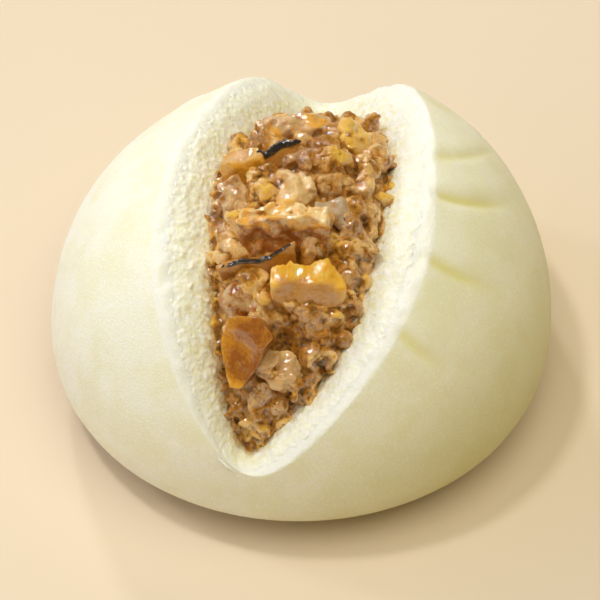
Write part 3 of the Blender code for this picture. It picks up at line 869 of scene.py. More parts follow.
def edge_bits():
    """Bits of mince pressed onto the crumb round the mouth, but for its back."""
    rng = random.Random(EDGE_BITS.seed)
    turns = column_turns(COLUMNS)
    bits = []
    for _ in range(EDGE_BITS.count):
        turn = rng.choice(turns)
        share = 1.0 - (0.20 if math.cos(turn) > 0.0 else 0.10) * rng.random() ** 1.7
        place = wall_points(turn, (share,))[0]
        spin, stretch = random_turn(rng), random_stretch(rng, 0.6, 1.35)
        if place.y > EDGE_BITS_END:
            continue
        radius = rng.uniform(*EDGE_BITS.radii) * (0.45 + 0.55 * smooth_step(0.80, 0.97, share))
        bits.append((place, radius, spin, stretch))
    return bits


def tone_bits(bits, lumps):
    """Give each bit the tone of the lump nearest to it, a little varied."""
    rng = random.Random(TONE_SEED)
    nearest = place_tree([lump[0] for lump in lumps])
    toned = []
    for bit in bits:
        tone = lumps[nearest.find(bit[0])[1]][4] + rng.gauss(0.0, 0.13)
        toned.append((*bit, min(max(tone, 0.1), 0.95)))
    return toned


def blend_tones(place, nearest, lumps):
    """Tone at a place: that of the lumps round it, each the less the farther it lies."""
    weight = total = 0.0
    for _, index, apart in nearest.find_n(place, 6):
        share = math.exp(-3.5 * apart / lumps[index][1])
        weight += share
        total += share * lumps[index][4]
    return total / weight


def meat_relief(place):
    """Folds, sharp creases and grain of chopped cooked meat, in millimetres."""
    warped = place + noise.noise_vector(place / 2.4)
    folds = 0.55 * noise.noise(warped / 2.2) + 0.34 * cell_height(warped / 2.3)
    knobs = 0.18 * cell_height(warped / 1.1)
    creases = crease_depth(warped / 3.2 + CREASE_DRIFT, 0.10, 0.50)
    return folds + knobs - creases + 0.10 * noise.noise(warped / 0.75)


def build_mince():
    """The mince: lumps and bits fused with its core, in relief, with tones (lighter on the lumps'
    tops as painted light), sauce and painted shade as masks.
    """
    lumps = mince_lumps()
    piece = mince_core()
    add_chunks(piece, lumps, LUMP_CORNERS, LUMP_SHAPE_SEED)
    medium, small, edge = (surface_bits(piece, MEDIUM_BITS), surface_bits(piece, SMALL_BITS),
                           edge_bits())
    for kind, bits in ((MEDIUM_BITS, medium), (SMALL_BITS, small), (EDGE_BITS, edge)):
        add_chunks(piece, bits, kind.corners, kind.shape_seed)
    fuse_piece(piece, *MINCE_FUSING)

    lumps += tone_bits(medium + small + edge, lumps)
    nearest = place_tree([lump[0] for lump in lumps])
    bulges, swells = bulge_heights(piece, BULGE_ROUNDS), bulge_heights(piece, BROAD_ROUNDS)
    tones, sauce_and_shade, placed = [], [], []
    for point, normal, bulge, broad in zip(get_points(piece), get_normals(piece), bulges, swells):
        place = Vector(point)
        height = meat_relief(place)
        hollow = max([smooth_step(reach, 0.3 * reach, (place.xy - Vector(spot)).length)
                      for spot, reach in HOLLOWS])
        fill = 0.25 * max(-bulge, 0.0)
        lift = MINCE_RELIEF * height + fill - HOLLOW_DEPTH * hollow
        placed.append(place + Vector(normal) * lift)
        tone = blend_tones(place, nearest, lumps) + 0.20 * noise.noise(place / 1.6)
        # Painted light: the tone is raised on bulges, so the lumps' tops are lighter.
        tones.append(tone + 0.30 * bulge + 0.06 * broad)
        # Painted shade in grooves, gaps, broad hollows at the front and the listed hollows; the
        # noise patches are sauce.
        groove = 0.76 * smooth_step(0.16, -0.30, 0.8 * bulge + 0.7 * height)
        patch = 0.60 * smooth_step(-0.05, 0.32, noise.noise(place / 4.2 + PATCH_DRIFT))
        gap_shade = smooth_step(0.0, -0.45, bulge)
        inward = 0.90 * smooth_step(0.25, -1.3, broad) * smooth_step(-50.0, -38.0, place.y)
        sauce_and_shade.append(max(groove, gap_shade, inward, patch, 0.8 * hollow))
    set_points(piece, placed)
    set_mask(piece, "tone", tones)
    set_mask(piece, "sunk", sauce_and_shade)
    return piece


# ---- larger cuts ----------------------------------------------------------------------------


def chopped_corners(name):
    """Corners of a cut chopped at random: an uneven block, and the lobes that stand out of it."""
    half = Vector(CUTS[name].size) / 2.0
    square, rng = CUTS[name].squareness, random.Random(CUTS[name].seed)
    corners = []
    for _ in range(BLOCK_CORNERS):
        way = random_way(rng)
        way /= sum(abs(part) ** square for part in way) ** (1.0 / square)
        corners.append(way * rng.uniform(0.84, 1.02))
    lobes = []
    for _ in range(LOBES[name]):
        way = Vector((rng.uniform(-1.0, 1.0), rng.uniform(-1.0, 1.0), rng.uniform(0.0, 1.0)))
        way = Vector([way.normalized()[axis] * half[axis] * 0.72 for axis in range(3)])
        turn = random_turn(rng)
        radius = min(half) * rng.uniform(0.40, 0.62)
        lobes.append((way, radius, turn, random_stretch(rng, 0.8, 1.3)))
    return corners, lobes


def cut_block(name):
    """The chopped block of a cut: the hull of its corners, fused with its lobes."""
    half = np.array(CUTS[name].size) / 2.0
    if name in CORNERS:
        corners, lobes = CORNERS[name], []
    else:
        corners, lobes = chopped_corners(name)
    if name == "pork_slab":
        lobes = [(Vector(place) * Vector(half), radius, (radius, 0.0, 1.0), (1.0, 1.0, 1.0))
                 for place, radius in SLAB_KNOBS]
    piece = start_piece(name + "_cut", kind="ico_sphere", subdivisions=2, radius=1.0)
    placed = np.zeros((len(piece.data.vertices), 3))
    placed[:len(corners)] = np.array([tuple(corner) for corner in corners]) * half
    set_points(piece, placed)
    edit_whole(bpy.ops.mesh.convex_hull)
    if lobes:
        add_chunks(piece, lobes, LOBE_CORNERS, CUTS[name].seed)
    fuse_piece(piece, *CUT_FUSING)
    return piece


def crest_level(name, x):
    """Level of a mushroom slice's upper edge at a place across it, in halves of its size."""
    places, levels = zip(*CRESTS[name])
    return float(np.interp(x, places, levels))


def carve_point(name, place, ball, drift):
    """Move a point of a cut's block to the cut's own uneven form."""
    if name in CRESTS:
        crest = crest_level(name, ball.x) * (CUTS[name].size[2] / 2.0)
        place.z += smooth_step(-1.0, 0.0, ball.z) * (crest * smooth_step(1.6, -0.6, ball.y))
        return place
    if name == "pork_slab":
        place.z += 1.2 * noise.noise(place / 3.4 + drift) * smooth_step(-0.6, 0.7, ball.z)
        place.y += 1.1 * noise.noise(place / 3.0 - drift)
    if name == "bamboo_middle":
        tips = noise.noise(Vector((place.x / 1.5, 3.0, 5.0)))
        tips += noise.noise(Vector((place.x / 0.8, 1.0, 2.0)))
        dip = 1.1 * math.exp(-((ball.x + 0.08) / 0.28) ** 2)
        place.y += (0.48 * tips - dip) * smooth_step(0.0, 0.8, ball.y)
    return place + noise.noise_vector(place / CUT_BEND_SIZE - drift) * CUT_BEND


def shape_cut(name, relief, tint):
    """One larger cut: its block, the relief of its kind, its tints from place to place, and painted
    shade in its hollows.
    """
    piece = cut_block(name)
    half = np.array(CUTS[name].size) / 2.0
    rng = random.Random(CUTS[name].seed)
    drift = Vector(random_stretch(rng, -50.0, 50.0))
    own = cut_frame(name)
    bulges = bulge_heights(piece, BULGE_ROUNDS)
    placed, tints, sauce_and_shade = [], [], []
    for point, normal, bulge in zip(get_points(piece), get_normals(piece), bulges):
        ball = Vector(point / half)
        place = carve_point(name, Vector(point), ball, drift)
        height = relief(name, place, ball, drift)
        if name == "onion":
            place = place * ONION_GROWTH + ONION_RISE
        placed.append(own @ (place + Vector(normal) * height))
        tints.append(tint(name, place, ball, drift))
        # Painted shade: darker where the cut's surface lies low.
        sauce_and_shade.append(smooth_step(-0.05, -0.80, bulge + 1.1 * height))
    set_points(piece, placed)
    for mask, values in zip(("tone", "pale", "bright"), zip(*tints)):
        set_mask(piece, mask, values)
    set_mask(piece, "sunk", sauce_and_shade)
    return piece


# Each relief and tint below takes the cut's name, a place in the cut's own millimetres, the same
# place in halves of its size (ball), and the cut's drift through the noise. A tint is a tone along
# the colour row, a share of the pale face, and a share of the bright edge.

# Strength of the relief of each piece of pork, and its tone.
PORK_CALM = {"pork_back": 0.65, "pork_left": 0.7, "pork_middle": 0.50, "pork_slab": 0.65,
             "pork_grey": 0.6, "pork_front": 1.0}
PORK_TONES = {"pork_back": 0.34, "pork_left": 0.36, "pork_middle": 0.76, "pork_slab": 0.70,
              "pork_grey": 0.22, "pork_front": 0.50}


def pork_relief(name, place, ball, drift):
    """Torn strands of lean meat with small knobs; nearly smooth on the grey piece's face."""
    strands = Vector((place.x / 4.0, place.y / 0.9, place.z / 0.9))
    if name == "pork_middle":
        strands = Vector((place.x / 1.6, place.y / 4.0, place.z / 1.6))
    height = 0.22 * noise.noise(strands + drift) + 0.50 * noise.noise(place / 2.6 + drift)
    height += 0.24 * cell_height(place / 1.7 + drift) + 0.04 * cell_height(place / 0.8 - drift)
    height -= crease_depth(place / 2.0 - drift, 0.12, 0.25)
    calm = PORK_CALM[name]
    if name == "pork_grey":
        calm *= 1.0 - 0.80 * smooth_step(0.95, 0.55, math.hypot(ball.x + 0.1, ball.y - 0.1))
    return height * calm


def pork_tint(name, place, ball, drift):
    """Brown to pale meat; the slab's front face is darker, partly sauce and partly painted shade,
    and its upper edge brighter, partly sauce and partly painted highlight.
    """
    tone = PORK_TONES[name] + 0.30 * noise.noise(place / 1.8 + drift)
    bright = 0.0
    if name == "pork_slab":
        # The slab's bright upper edge is partly painted highlight, and its darker front face partly
        # painted shade.
        level = ball.z + 0.4 * noise.noise(place / 2.2 - drift)
        front = smooth_step(0.30, -0.45, ball.y - 0.35 * ball.x)
        bright = 0.8 * smooth_step(0.50, 0.85, level) * smooth_step(1.30, 1.0, level)
        bright *= smooth_step(-0.35, 0.25, noise.noise(place / 1.5 + drift))
        tone += 0.20 - 0.80 * front * smooth_step(1.15, 0.70, level)
    if name == "pork_back":
        bright = 0.8 * smooth_step(0.1, 0.5, noise.noise(place / 3.0 - drift))
    if name == "pork_middle":
        bright = 0.7 * smooth_step(0.0, 0.5, noise.noise(place / 2.4 - drift))
    if name == "pork_left":
        bright = 0.6 * smooth_step(0.2, -0.5, ball.z)
    return tone, 0.0, bright


def bamboo_relief(name, place, ball, drift):
    """Fine fibres over flat knife cuts; the upper band of the middle piece is combed."""
    fibres = Vector((place.x / 0.45, place.y / 4.0, place.z / 4.0))
    height = 0.08 * noise.noise(fibres + drift) + 0.55 * noise.noise(place / 3.0 + drift)
    height += 0.15 * noise.noise(place / 1.4 - drift) + 0.06 * cell_height(place / 0.8)
    if name == "bamboo_middle":
        band = smooth_step(-0.15, 0.35, ball.y)
        comb = noise.noise(Vector((place.x / 0.45, place.y / 3.0, place.z / 3.0)))
        height = 0.8 * height + 0.15 * band * comb
    if name == "bamboo_back":
        height += 0.22 * cell_height(place / 2.2 + drift) + 0.1 * cell_height(place)
    if name == "bamboo_front":
        middle = 1.0 - max(abs(ball.x), abs(ball.y))
        dish = 0.20 * smooth_step(0.15, 0.55, middle) * smooth_step(0.6, 1.0, ball.z)
        height = 0.5 * height - dish
    return height


def bamboo_tint(name, place, ball, drift):
    """Golden shoot, paler on the knife cuts; the front piece has a dark core along it."""
    vary = 0.22 * noise.noise(place / 2.2 + drift)
    tone, pale, bright = 0.62 + vary, 0.0, 0.0
    if name == "bamboo_middle":
        side = smooth_step(0.60, 0.85, abs(ball.x) + 0.8 * vary) * smooth_step(-0.8, -0.2, ball.y)
        band = max(smooth_step(-0.20, 0.25, ball.y + 1.2 * vary), side)
        tone, pale = 0.55 + 0.20 * band + vary, (1.0 - band) * (0.85 + 1.2 * vary)
        bright = 0.65 * band * (0.7 + 1.2 * noise.noise(place / 1.3 - drift))
    if name == "bamboo_front":
        streak = Vector((place.x / 0.9, place.y / 7.0, 2.0))
        across = ball.x + 0.15 * ball.y + 0.25 * noise.noise(streak) + 0.4 * vary
        core = math.exp(-((across + 0.05) / 0.60) ** 2) * smooth_step(-0.95, -0.40, ball.y)
        core *= smooth_step(1.15, 0.75, ball.y)
        tone = 0.43 - 0.36 * smooth_step(0.0, 0.5, across) - 0.46 * core
        tone += 0.10 * noise.noise(streak)
        tone = max(tone, 0.52 * smooth_step(-0.55, -0.85, ball.y))
    if name == "bamboo_left":
        top = smooth_step(0.75, 1.0, ball.z)
        tone = 0.45 + 0.15 * top + vary
        pale = 0.55 * top
        bright = 0.7 * smooth_step(0.2, 0.7, ball.z) * (1.0 - top)
    if name == "bamboo_back":
        tone, pale = 0.85 + vary, 0.25 + vary
    return tone, pale, bright


def mushroom_relief(name, place, ball, drift):
    """Thin layers along the slice."""
    layers = Vector((place.x / 2.5, place.y / 0.7, place.z / 0.7))
    return 0.18 * noise.noise(layers + drift) + 0.28 * noise.noise(place / 2.6 + drift)


def mushroom_tint(name, place, ball, drift):
    """Brown flesh, lighter towards its cap edge."""
    tone = 0.45 + 0.45 * smooth_step(-0.8, 0.0, ball.z) + 0.2 * noise.noise(place / 2.0 + drift)
    return tone, 0.0, 0.15 * smooth_step(-0.5, 0.0, ball.z)


def cap_strip(name):
    """Dark cap skin along a mushroom slice's upper front edge: a thin wavy wrinkled band."""
    thickness, depth = CAPS[name]
    square = CAP_SQUARENESS
    half = Vector(CUTS[name].size) / 2.0
    piece = start_piece(name + "_cap", kind="cube", size=2.0)
    edit_whole(bpy.ops.mesh.subdivide, number_cuts=CAP_CUTS)
    own = cut_frame(name)
    placed, tones = [], []
    for point in get_points(piece):
        ball = Vector(point) / float(np.sum(np.abs(point) ** square) ** (1.0 / square))
        slim = 0.60 + 0.40 * smooth_step(1.1, 0.0, abs(ball.x + 0.15))
        x = ball.x * half.x * 0.93 + 0.3
        crinkle = noise.noise(Vector((x / 0.7, ball.y * 0.7, 1.7 + ball.z)))
        wave = noise.noise(Vector((x / 1.8, 4.0, 0.0)))
        z = (crest_level(name, ball.x) * half.z + ball.z * thickness * slim * (0.5 + 0.2 * crinkle)
             + 0.12 * crinkle + 0.22 * wave)
        y = ball.y * depth * 0.5 + depth * 0.30 - half.y + 0.35 * wave
        placed.append(own @ Vector((x, y, z)))
        tones.append(0.5 + 0.5 * crinkle)
    set_points(piece, placed)
    set_mask(piece, "tone", tones)
    for mask in ("sunk", "pale", "bright"):
        set_mask(piece, mask, np.zeros(len(placed)))
    return piece


def onion_relief(name, place, ball, drift):
    """Soft ridges that follow the onion's layers."""
    ridges = math.sin(place.x * 1.8 + 1.2 * noise.noise(place / 3.0 + drift))
    return 0.30 * ridges + 0.45 * noise.noise(place / 2.0 + drift)


def onion_tint(name, place, ball, drift):
    return 0.5 + 0.4 * noise.noise(place / 2.5 + drift), 0.0, 0.0


# ---- materials ------------------------------------------------------------------------------


class Recipe:
    """A node material being built: small helpers that add and link its nodes."""

    def __init__(self, name):
        self.material = bpy.data.materials.new(name)
        self.material.use_nodes = True
        self.nodes = self.material.node_tree.nodes
        self.links = self.material.node_tree.links
        self.shader = self.nodes["Principled BSDF"]
        self.where = self.nodes.new("ShaderNodeTexCoord").outputs["Object"]

    def put(self, value, socket):
        """Link a node's output to a socket, or give the socket a number or a colour."""
        if isinstance(value, bpy.types.NodeSocket):
            self.links.new(value, socket)
        elif hasattr(value, "__len__"):
            socket.default_value = (*value, 1.0)
        else:
            socket.default_value = value

    def noise(self, size_mm, detail=3.0, roughness=0.5):
        """Clouds of a size, mostly between 0.3 and 0.7."""
        node = self.nodes.new("ShaderNodeTexNoise")
        node.inputs["Scale"].default_value = 1.0 / (size_mm * MM)
        node.inputs["Detail"].default_value = detail
        node.inputs["Roughness"].default_value = roughness
        self.links.new(self.where, node.inputs["Vector"])
        return node.outputs["Fac"]

    def slope(self, way, low_mm, high_mm):
        """Share from 0 to 1 along a way through the object."""
        node = self.nodes.new("ShaderNodeVectorMath")
        node.operation = "DOT_PRODUCT"
        self.links.new(self.where, node.inputs[0])
        node.inputs[1].default_value = Vector(way).normalized()
        return self.remap(node.outputs["Value"], low_mm * MM, high_mm * MM)

    def mask(self, name):
        """Value that the piece carries from point to point."""
        node = self.nodes.new("ShaderNodeAttribute")
        node.attribute_name = name
        return node.outputs["Fac"]

    def remap(self, value, low, high, to_low=0.0, to_high=1.0):
        """Value stretched from one range to another and held at its ends."""
        node = self.nodes.new("ShaderNodeMapRange")
        self.links.new(value, node.inputs["Value"])
        for socket, number in (("From Min", low), ("From Max", high), ("To Min", to_low),
                               ("To Max", to_high)):
            node.inputs[socket].default_value = number
        return node.outputs["Result"]

    def combine(self, one, other, kind="ADD"):
        node = self.nodes.new("ShaderNodeMath")
        node.operation = kind
        self.put(one, node.inputs[0])
        self.put(other, node.inputs[1])
        return node.outputs[0]

    def mix(self, share, one, other, blend="MIX"):
        node = self.nodes.new("ShaderNodeMix")
        node.data_type = "RGBA"
        node.blend_type = blend
        self.put(share, node.inputs[0])
        self.put(one, node.inputs[6])
        self.put(other, node.inputs[7])
        return node.outputs[2]

    def ramp(self, value, stops):
        """Colour row along which a value picks its colour."""
        node = self.nodes.new("ShaderNodeValToRGB")
        ends = node.color_ramp.elements
        ends[0].position, ends[0].color = stops[0][0], (*stops[0][1], 1.0)
        ends[1].position, ends[1].color = stops[-1][0], (*stops[-1][1], 1.0)
        for position, colour in stops[1:-1]:
            ends.new(position).color = (*colour, 1.0)
        self.links.new(value, node.inputs["Fac"])
        return node.outputs["Color"]

    def bump(self, height, depth_mm, strength=1.0):
        """Fine relief of a depth, which is shading only."""
        node = self.nodes.new("ShaderNodeBump")
        node.inputs["Distance"].default_value = depth_mm * MM
        node.inputs["Strength"].default_value = strength
        self.links.new(height, node.inputs["Height"])
        return node.outputs["Normal"]

    def set(self, **values):
        for name, value in values.items():
            self.put(value, self.shader.inputs[name.replace("_", " ")])

    def glow(self, weight, reach_mm, reach_of_colours):
        """Let light a little way in under the surface, red farther than blue."""
        self.set(Subsurface_Weight=weight, Subsurface_Scale=reach_mm * MM)
        self.shader.inputs["Subsurface Radius"].default_value = reach_of_colours


# How far red, green and blue reach in the dough and in the filling.
DOUGH_GLOW = (1.0, 0.85, 0.5)
MEAT_GLOW = (1.0, 0.45, 0.15)


def dough_material(s):
    """Mottled, finely specked skin, with painted shade on its right side and near its base,
    yellowish painted shade in its creases, and a torn inside.
    """
    r = Recipe("dough")
    crumb, crease, stain = (r.mask(name) for name in ("crumb", "crease", "stain"))
    skin = r.mix(r.remap(r.noise(8.0), 0.42, 0.62), s.skin, s.skin_shade)
    grain = r.noise(0.42, 2.0, 0.7)
    skin = r.mix(r.remap(grain, 0.50, 0.36, 0.0, 0.8), skin, s.skin_shade)
    skin = r.mix(r.remap(grain, 0.54, 0.66, 0.0, 0.9), skin, s.skin_speck)
    # Painted shade: the skin is darkened towards its right side and towards its base.
    skin = r.mix(r.slope((1.0, -0.22, -0.30), 6.0, 50.0), skin, s.skin_right_shade, "MULTIPLY")
    skin = r.mix(r.slope((0.65, -0.30, -0.70), 6.0, 26.0), skin, s.skin_base_shade, "MULTIPLY")
    # Painted shade: yellowish colour in the bottom of the pleats' creases.
    skin = r.mix(crease, skin, s.crease)
    colour = r.mix(crumb, skin, s.crumb)
    sauce = r.mix(r.noise(0.9), s.stain, s.stain_dark)
    colour = r.mix(stain, colour, sauce)
    r.set(Base_Color=colour, Roughness=r.remap(crumb, 0.0, 1.0, 0.52, 0.85),
          Normal=r.bump(grain, 0.20, 0.8))
    r.glow(0.4, 1.6, DOUGH_GLOW)
    return r.material


def crumb_material(s):
    """Open crumb: white flakes, yellowish painted shade in its pores, and damp parts with painted
    shade and sauce stain towards the filling.
    """
    r = Recipe("crumb")
    stain, pore, damp = (r.mask(name) for name in ("stain", "pore", "damp"))
    fine = r.noise(0.7, 3.0, 0.6)
    # Painted shade in the crumb's pores, varied by fine noise.
    hollow = r.combine(pore, r.remap(fine, 0.35, 0.65, -0.25, 0.25))
    colour = r.mix(hollow, s.crumb, s.crumb_shade)
    # Painted shade: dimple patches and soft olive patches near the filling; the soft ones are partly
    # damp crumb.
    patch = r.remap(r.noise(1.2, 3.0, 0.65), 0.51, 0.58, 0.0, 0.95)
    colour = r.mix(r.combine(patch, damp, "MULTIPLY"), colour, s.crumb_shade)
    soft = r.remap(r.noise(2.8, 2.0), 0.48, 0.66, 0.0, 0.60)
    colour = r.mix(r.combine(soft, damp, "MULTIPLY"), colour, s.crumb_damp_and_shade)
    fleck = r.remap(r.noise(0.42, 2.0, 0.6), 0.56, 0.64)
    colour = r.mix(r.combine(fleck, damp, "MULTIPLY"), colour, s.crumb_fleck)
    soaked = r.mix(r.remap(r.noise(0.9), 0.4, 0.6), s.stain, s.stain_dark)
    colour = r.mix(stain, colour, soaked)
    r.set(Base_Color=colour, Roughness=0.85, Normal=r.bump(r.noise(0.6, 3.0, 0.65), 0.24))
    r.glow(0.3, 0.5, DOUGH_GLOW)
    return r.material


def wet_material(name, stops, s, glow, grain_mm, mottling=1.0):
    """Sauce-glazed surface: tone mask into a colour row, sauce and painted shade in the grooves, wet
    coat.
    """
    r = Recipe(name)
    fine, broad = 0.24 * mottling, 0.12 * mottling
    tone = r.combine(r.mask("tone"), r.remap(r.noise(0.6, 4.0, 0.65), 0.3, 0.7, -fine, fine))
    tone = r.combine(tone, r.remap(r.noise(2.2, 2.0), 0.3, 0.7, -broad, broad))
    colour = r.mix(r.mask("pale"), r.ramp(tone, stops), s.pale)
    colour = r.mix(r.mask("bright"), colour, s.bright)
    # The sunk mask paints sauce and, deeper, painted shade in the grooves.
    sunk = r.combine(r.mask("sunk"), r.remap(r.noise(0.8, 3.0, 0.6), 0.3, 0.7, -0.20, 0.20))
    colour = r.mix(r.remap(sunk, 0.10, 0.50, 0.0, 0.90), colour, s.sauce)
    colour = r.mix(r.remap(sunk, 0.47, 0.90, 0.0, 0.95), colour, s.groove_shade)
    fleck = r.remap(r.noise(0.45, 3.0, 0.6), 0.60, 0.72, 0.0, 0.5 * mottling)
    colour = r.mix(fleck, colour, s.sauce_dark)
    grain = r.bump(r.noise(grain_mm, 4.0, 0.6), 0.40 * mottling, 0.9)
    film = r.bump(r.noise(0.60, 1.5, 0.5), 0.17)
    r.set(Base_Color=colour, Roughness=r.remap(r.noise(1.1), 0.3, 0.7, 0.35, 0.6), Normal=grain,
          Coat_Weight=1.0, Coat_Roughness=s.glaze_roughness, Coat_IOR=2.1, Coat_Normal=film,
          Specular_IOR_Level=0.1)
    r.glow(glow, 0.55, MEAT_GLOW)
    return r.material


# Colour rows of the filling, from the darkest tone to the lightest.
MINCE_ROW = ((0.0, (0.12, 0.04, 0.02)), (0.15, (0.38, 0.19, 0.09)), (0.3, (0.58, 0.35, 0.18)),
             (0.45, (0.67, 0.38, 0.14)), (0.6, (0.80, 0.51, 0.21)), (0.75, (0.92, 0.62, 0.28)),
             (0.88, (0.88, 0.46, 0.04)), (1.0, (0.95, 0.62, 0.12)))
PORK_ROW = ((0.0, (0.30, 0.08, 0.01)), (0.15, (0.45, 0.15, 0.018)), (0.24, (0.52, 0.29, 0.13)),
            (0.35, (0.64, 0.40, 0.19)), (0.6, (0.76, 0.48, 0.21)), (1.0, (0.94, 0.70, 0.36)))
BAMBOO_ROW = ((0.0, (0.33, 0.095, 0.010)), (0.35, (0.66, 0.28, 0.018)),
              (0.7, (0.92, 0.52, 0.05)), (1.0, (0.97, 0.70, 0.22)))
MUSHROOM_ROW = ((0.0, (0.20, 0.06, 0.01)), (0.5, (0.38, 0.14, 0.02)), (1.0, (0.50, 0.21, 0.035)))
CAP_ROW = ((0.0, (0.004, 0.004, 0.005)), (1.0, (0.025, 0.022, 0.026)))
ONION_ROW = ((0.0, (0.40, 0.27, 0.16)), (1.0, (0.62, 0.47, 0.29)))


# ---- settings -------------------------------------------------------------------------------


def colour_setting(name, description, default):
    return bpy.props.FloatVectorProperty(name=name, description=description, subtype="COLOR",
                                         size=3, min=0.0, max=1.0, default=default)


def power_setting(name, description, default):
    return bpy.props.FloatProperty(name=name, description=description, min=0.0, unit="POWER",
                                   default=default)


class BunDoughSettings(bpy.types.PropertyGroup):
    skin: colour_setting("Skin", "Steamed skin of the dough", (0.95, 0.935, 0.79))
    skin_shade: colour_setting("Skin shade", "Mottling of the skin", (0.90, 0.88, 0.65))
    skin_speck: colour_setting("Skin specks", "Fine specks of the skin", (0.99, 0.985, 0.88))
    # Painted shade: the next two tints darken the skin on its right side and near its base.
    skin_right_shade: colour_setting("Skin below", "Tint of the lower right side", (0.90, 0.88, 0.76))
    skin_base_shade: colour_setting("Skin near the base", "Tint near the base", (0.80, 0.77, 0.56))
    # Painted shade in the bottom of the pleats' creases.
    crease: colour_setting("Crease", "Yellowish bottom of the pleats", (0.82, 0.76, 0.30))
    crumb: colour_setting("Crumb", "Torn inside of the dough", (0.93, 0.925, 0.84))
    crumb_damp_and_shade: colour_setting("Damp crumb", "Crumb next to the filling", (0.86, 0.78, 0.48))
    # Partly damp crumb next to the filling, partly painted shade on the steep wall there.
    crumb_fleck: colour_setting("Crumb flecks", "Light flecks of the crumb", (0.97, 0.965, 0.89))
    crumb_shade: colour_setting("Crumb shade", "Pores of the crumb", (0.82, 0.80, 0.44))
    stain: colour_setting("Stain", "Sauce soaked into the crumb", (0.76, 0.56, 0.24))
    stain_dark: colour_setting("Dark stain", "Sauce pooled in the pocket", (0.50, 0.29, 0.09))


class BunFillingSettings(bpy.types.PropertyGroup):
    # Partly sauce between the lumps, partly painted shade in the hollows between them.
    sauce: colour_setting("Sauce", "Sauce between the lumps", (0.57, 0.23, 0.015))
    # Painted shade, nearly black, deep in the grooves.
    groove_shade: colour_setting("Deep sauce", "Sauce deep in the grooves", (0.07, 0.018, 0.004))
    pale: colour_setting("Pale face", "Paler cut faces of the larger cuts", (0.57, 0.28, 0.10))
    # On the long slab's upper edge this bright colour is partly painted highlight.
    bright: colour_setting("Bright edge", "Orange, sauce-soaked edges", (0.88, 0.42, 0.025))
    sauce_dark: colour_setting("Dark sauce", "Specks of sauce", (0.16, 0.06, 0.02))
    glaze_roughness: bpy.props.FloatProperty(
        name="Glaze roughness", description="Roughness of the wet glaze", subtype="FACTOR",
        min=0.0, max=1.0, default=0.04)


class BunStageSettings(bpy.types.PropertyGroup):
    floor: colour_setting("Floor", "Plain pale floor", (0.77, 0.64, 0.49))
    floor_shade: colour_setting("Floor shade", "Faint mottling of the floor", (0.73, 0.60, 0.45))
    surround: colour_setting("Surround", "Soft light from all round", (1.0, 0.75, 0.30))
    surround_strength: bpy.props.FloatProperty(
        name="Surround strength", description="Strength of the light from all round", min=0.0,
        default=0.13)
    lamp_power: power_setting("Lamp power", "Soft lamp that draws the wet glints", 4.6)
    back_power: power_setting("Back lamp power", "Lamp behind, for more wet glints", 3.0)
    left_power: power_setting("Left lamp power", "Lamp at the left, for more wet glints", 1.3)
    panel_power: power_setting("Panel power", "Broad panel overhead", 17.5)
    panel_colour: colour_setting("Panel colour", "Colour of the overhead panel", (1.0, 0.98, 0.80))
    side_power: power_setting("Side panel power", "Broad panel at the left", 8.0)
    side_colour: colour_setting("Side colour", "Colour of the side panel", (0.54, 0.65, 1.0))
    front_power: power_setting("Front panel power", "Broad panel low in front", 3.4)
    front_colour: colour_setting("Front colour", "Colour of the front panel", (1.0, 0.97, 0.88))
    view_azimuth: bpy.props.FloatProperty(
        name="View azimuth", description="Camera's turn round the bun", unit="ROTATION",
        default=math.radians(8.0))
    view_elevation: bpy.props.FloatProperty(
        name="View elevation", description="Camera's angle above the table", unit="ROTATION",
        default=math.radians(48.0))


# ---- operators ------------------------------------------------------------------------------


def lay_cuts(names, material, relief, tint):
    """Shape larger cuts of one kind and lay them in the filling."""
    for name in names:
        finish_piece(shape_cut(name, relief, tint), material, [name])


class BUN_OT_dough(bpy.types.Operator):
    """Model the dough with its skin, pleats, torn crumb and pocket"""
    bl_idname = "bun.dough"
    bl_label = "Dough"

    def execute(self, context):
        material = dough_material(context.scene.bun_dough)
        finish_piece(build_dough(), material, ["dough"])
        return {"FINISHED"}


class BUN_OT_crumb(bpy.types.Operator):
    """Lay the torn, porous crumb over the wall"""
    bl_idname = "bun.crumb"
    bl_label = "Torn crumb"

    def execute(self, context):
        material = crumb_material(context.scene.bun_dough)
        finish_piece(build_crumb(), material, [])
        return {"FINISHED"}


class BUN_OT_mince(bpy.types.Operator):
    """Model the minced filling as one fused, knobbly mass"""
    bl_idname = "bun.mince"
    bl_label = "Mince"

    def execute(self, context):
        material = wet_material("mince", MINCE_ROW, context.scene.bun_filling,
                                glow=0.45, grain_mm=0.5)
        finish_piece(build_mince(), material, ["filling"])
        return {"FINISHED"}


class BUN_OT_pork(bpy.types.Operator):
    """Cut the larger pieces of pork"""
    bl_idname = "bun.pork"
    bl_label = "Pork"

    def execute(self, context):
        material = wet_material("pork", PORK_ROW, context.scene.bun_filling,
                                glow=0.45, grain_mm=0.45, mottling=0.6)
        lay_cuts(PORK_TONES, material, pork_relief, pork_tint)
        return {"FINISHED"}


class BUN_OT_bamboo(bpy.types.Operator):
    """Cut the pieces of bamboo shoot"""
    bl_idname = "bun.bamboo"
    bl_label = "Bamboo shoot"

    def execute(self, context):
        material = wet_material("bamboo", BAMBOO_ROW, context.scene.bun_filling,
                                glow=0.3, grain_mm=0.6, mottling=0.5)
        names = [name for name in CUTS if name.startswith("bamboo")]
        lay_cuts(names, material, bamboo_relief, bamboo_tint)
        return {"FINISHED"}


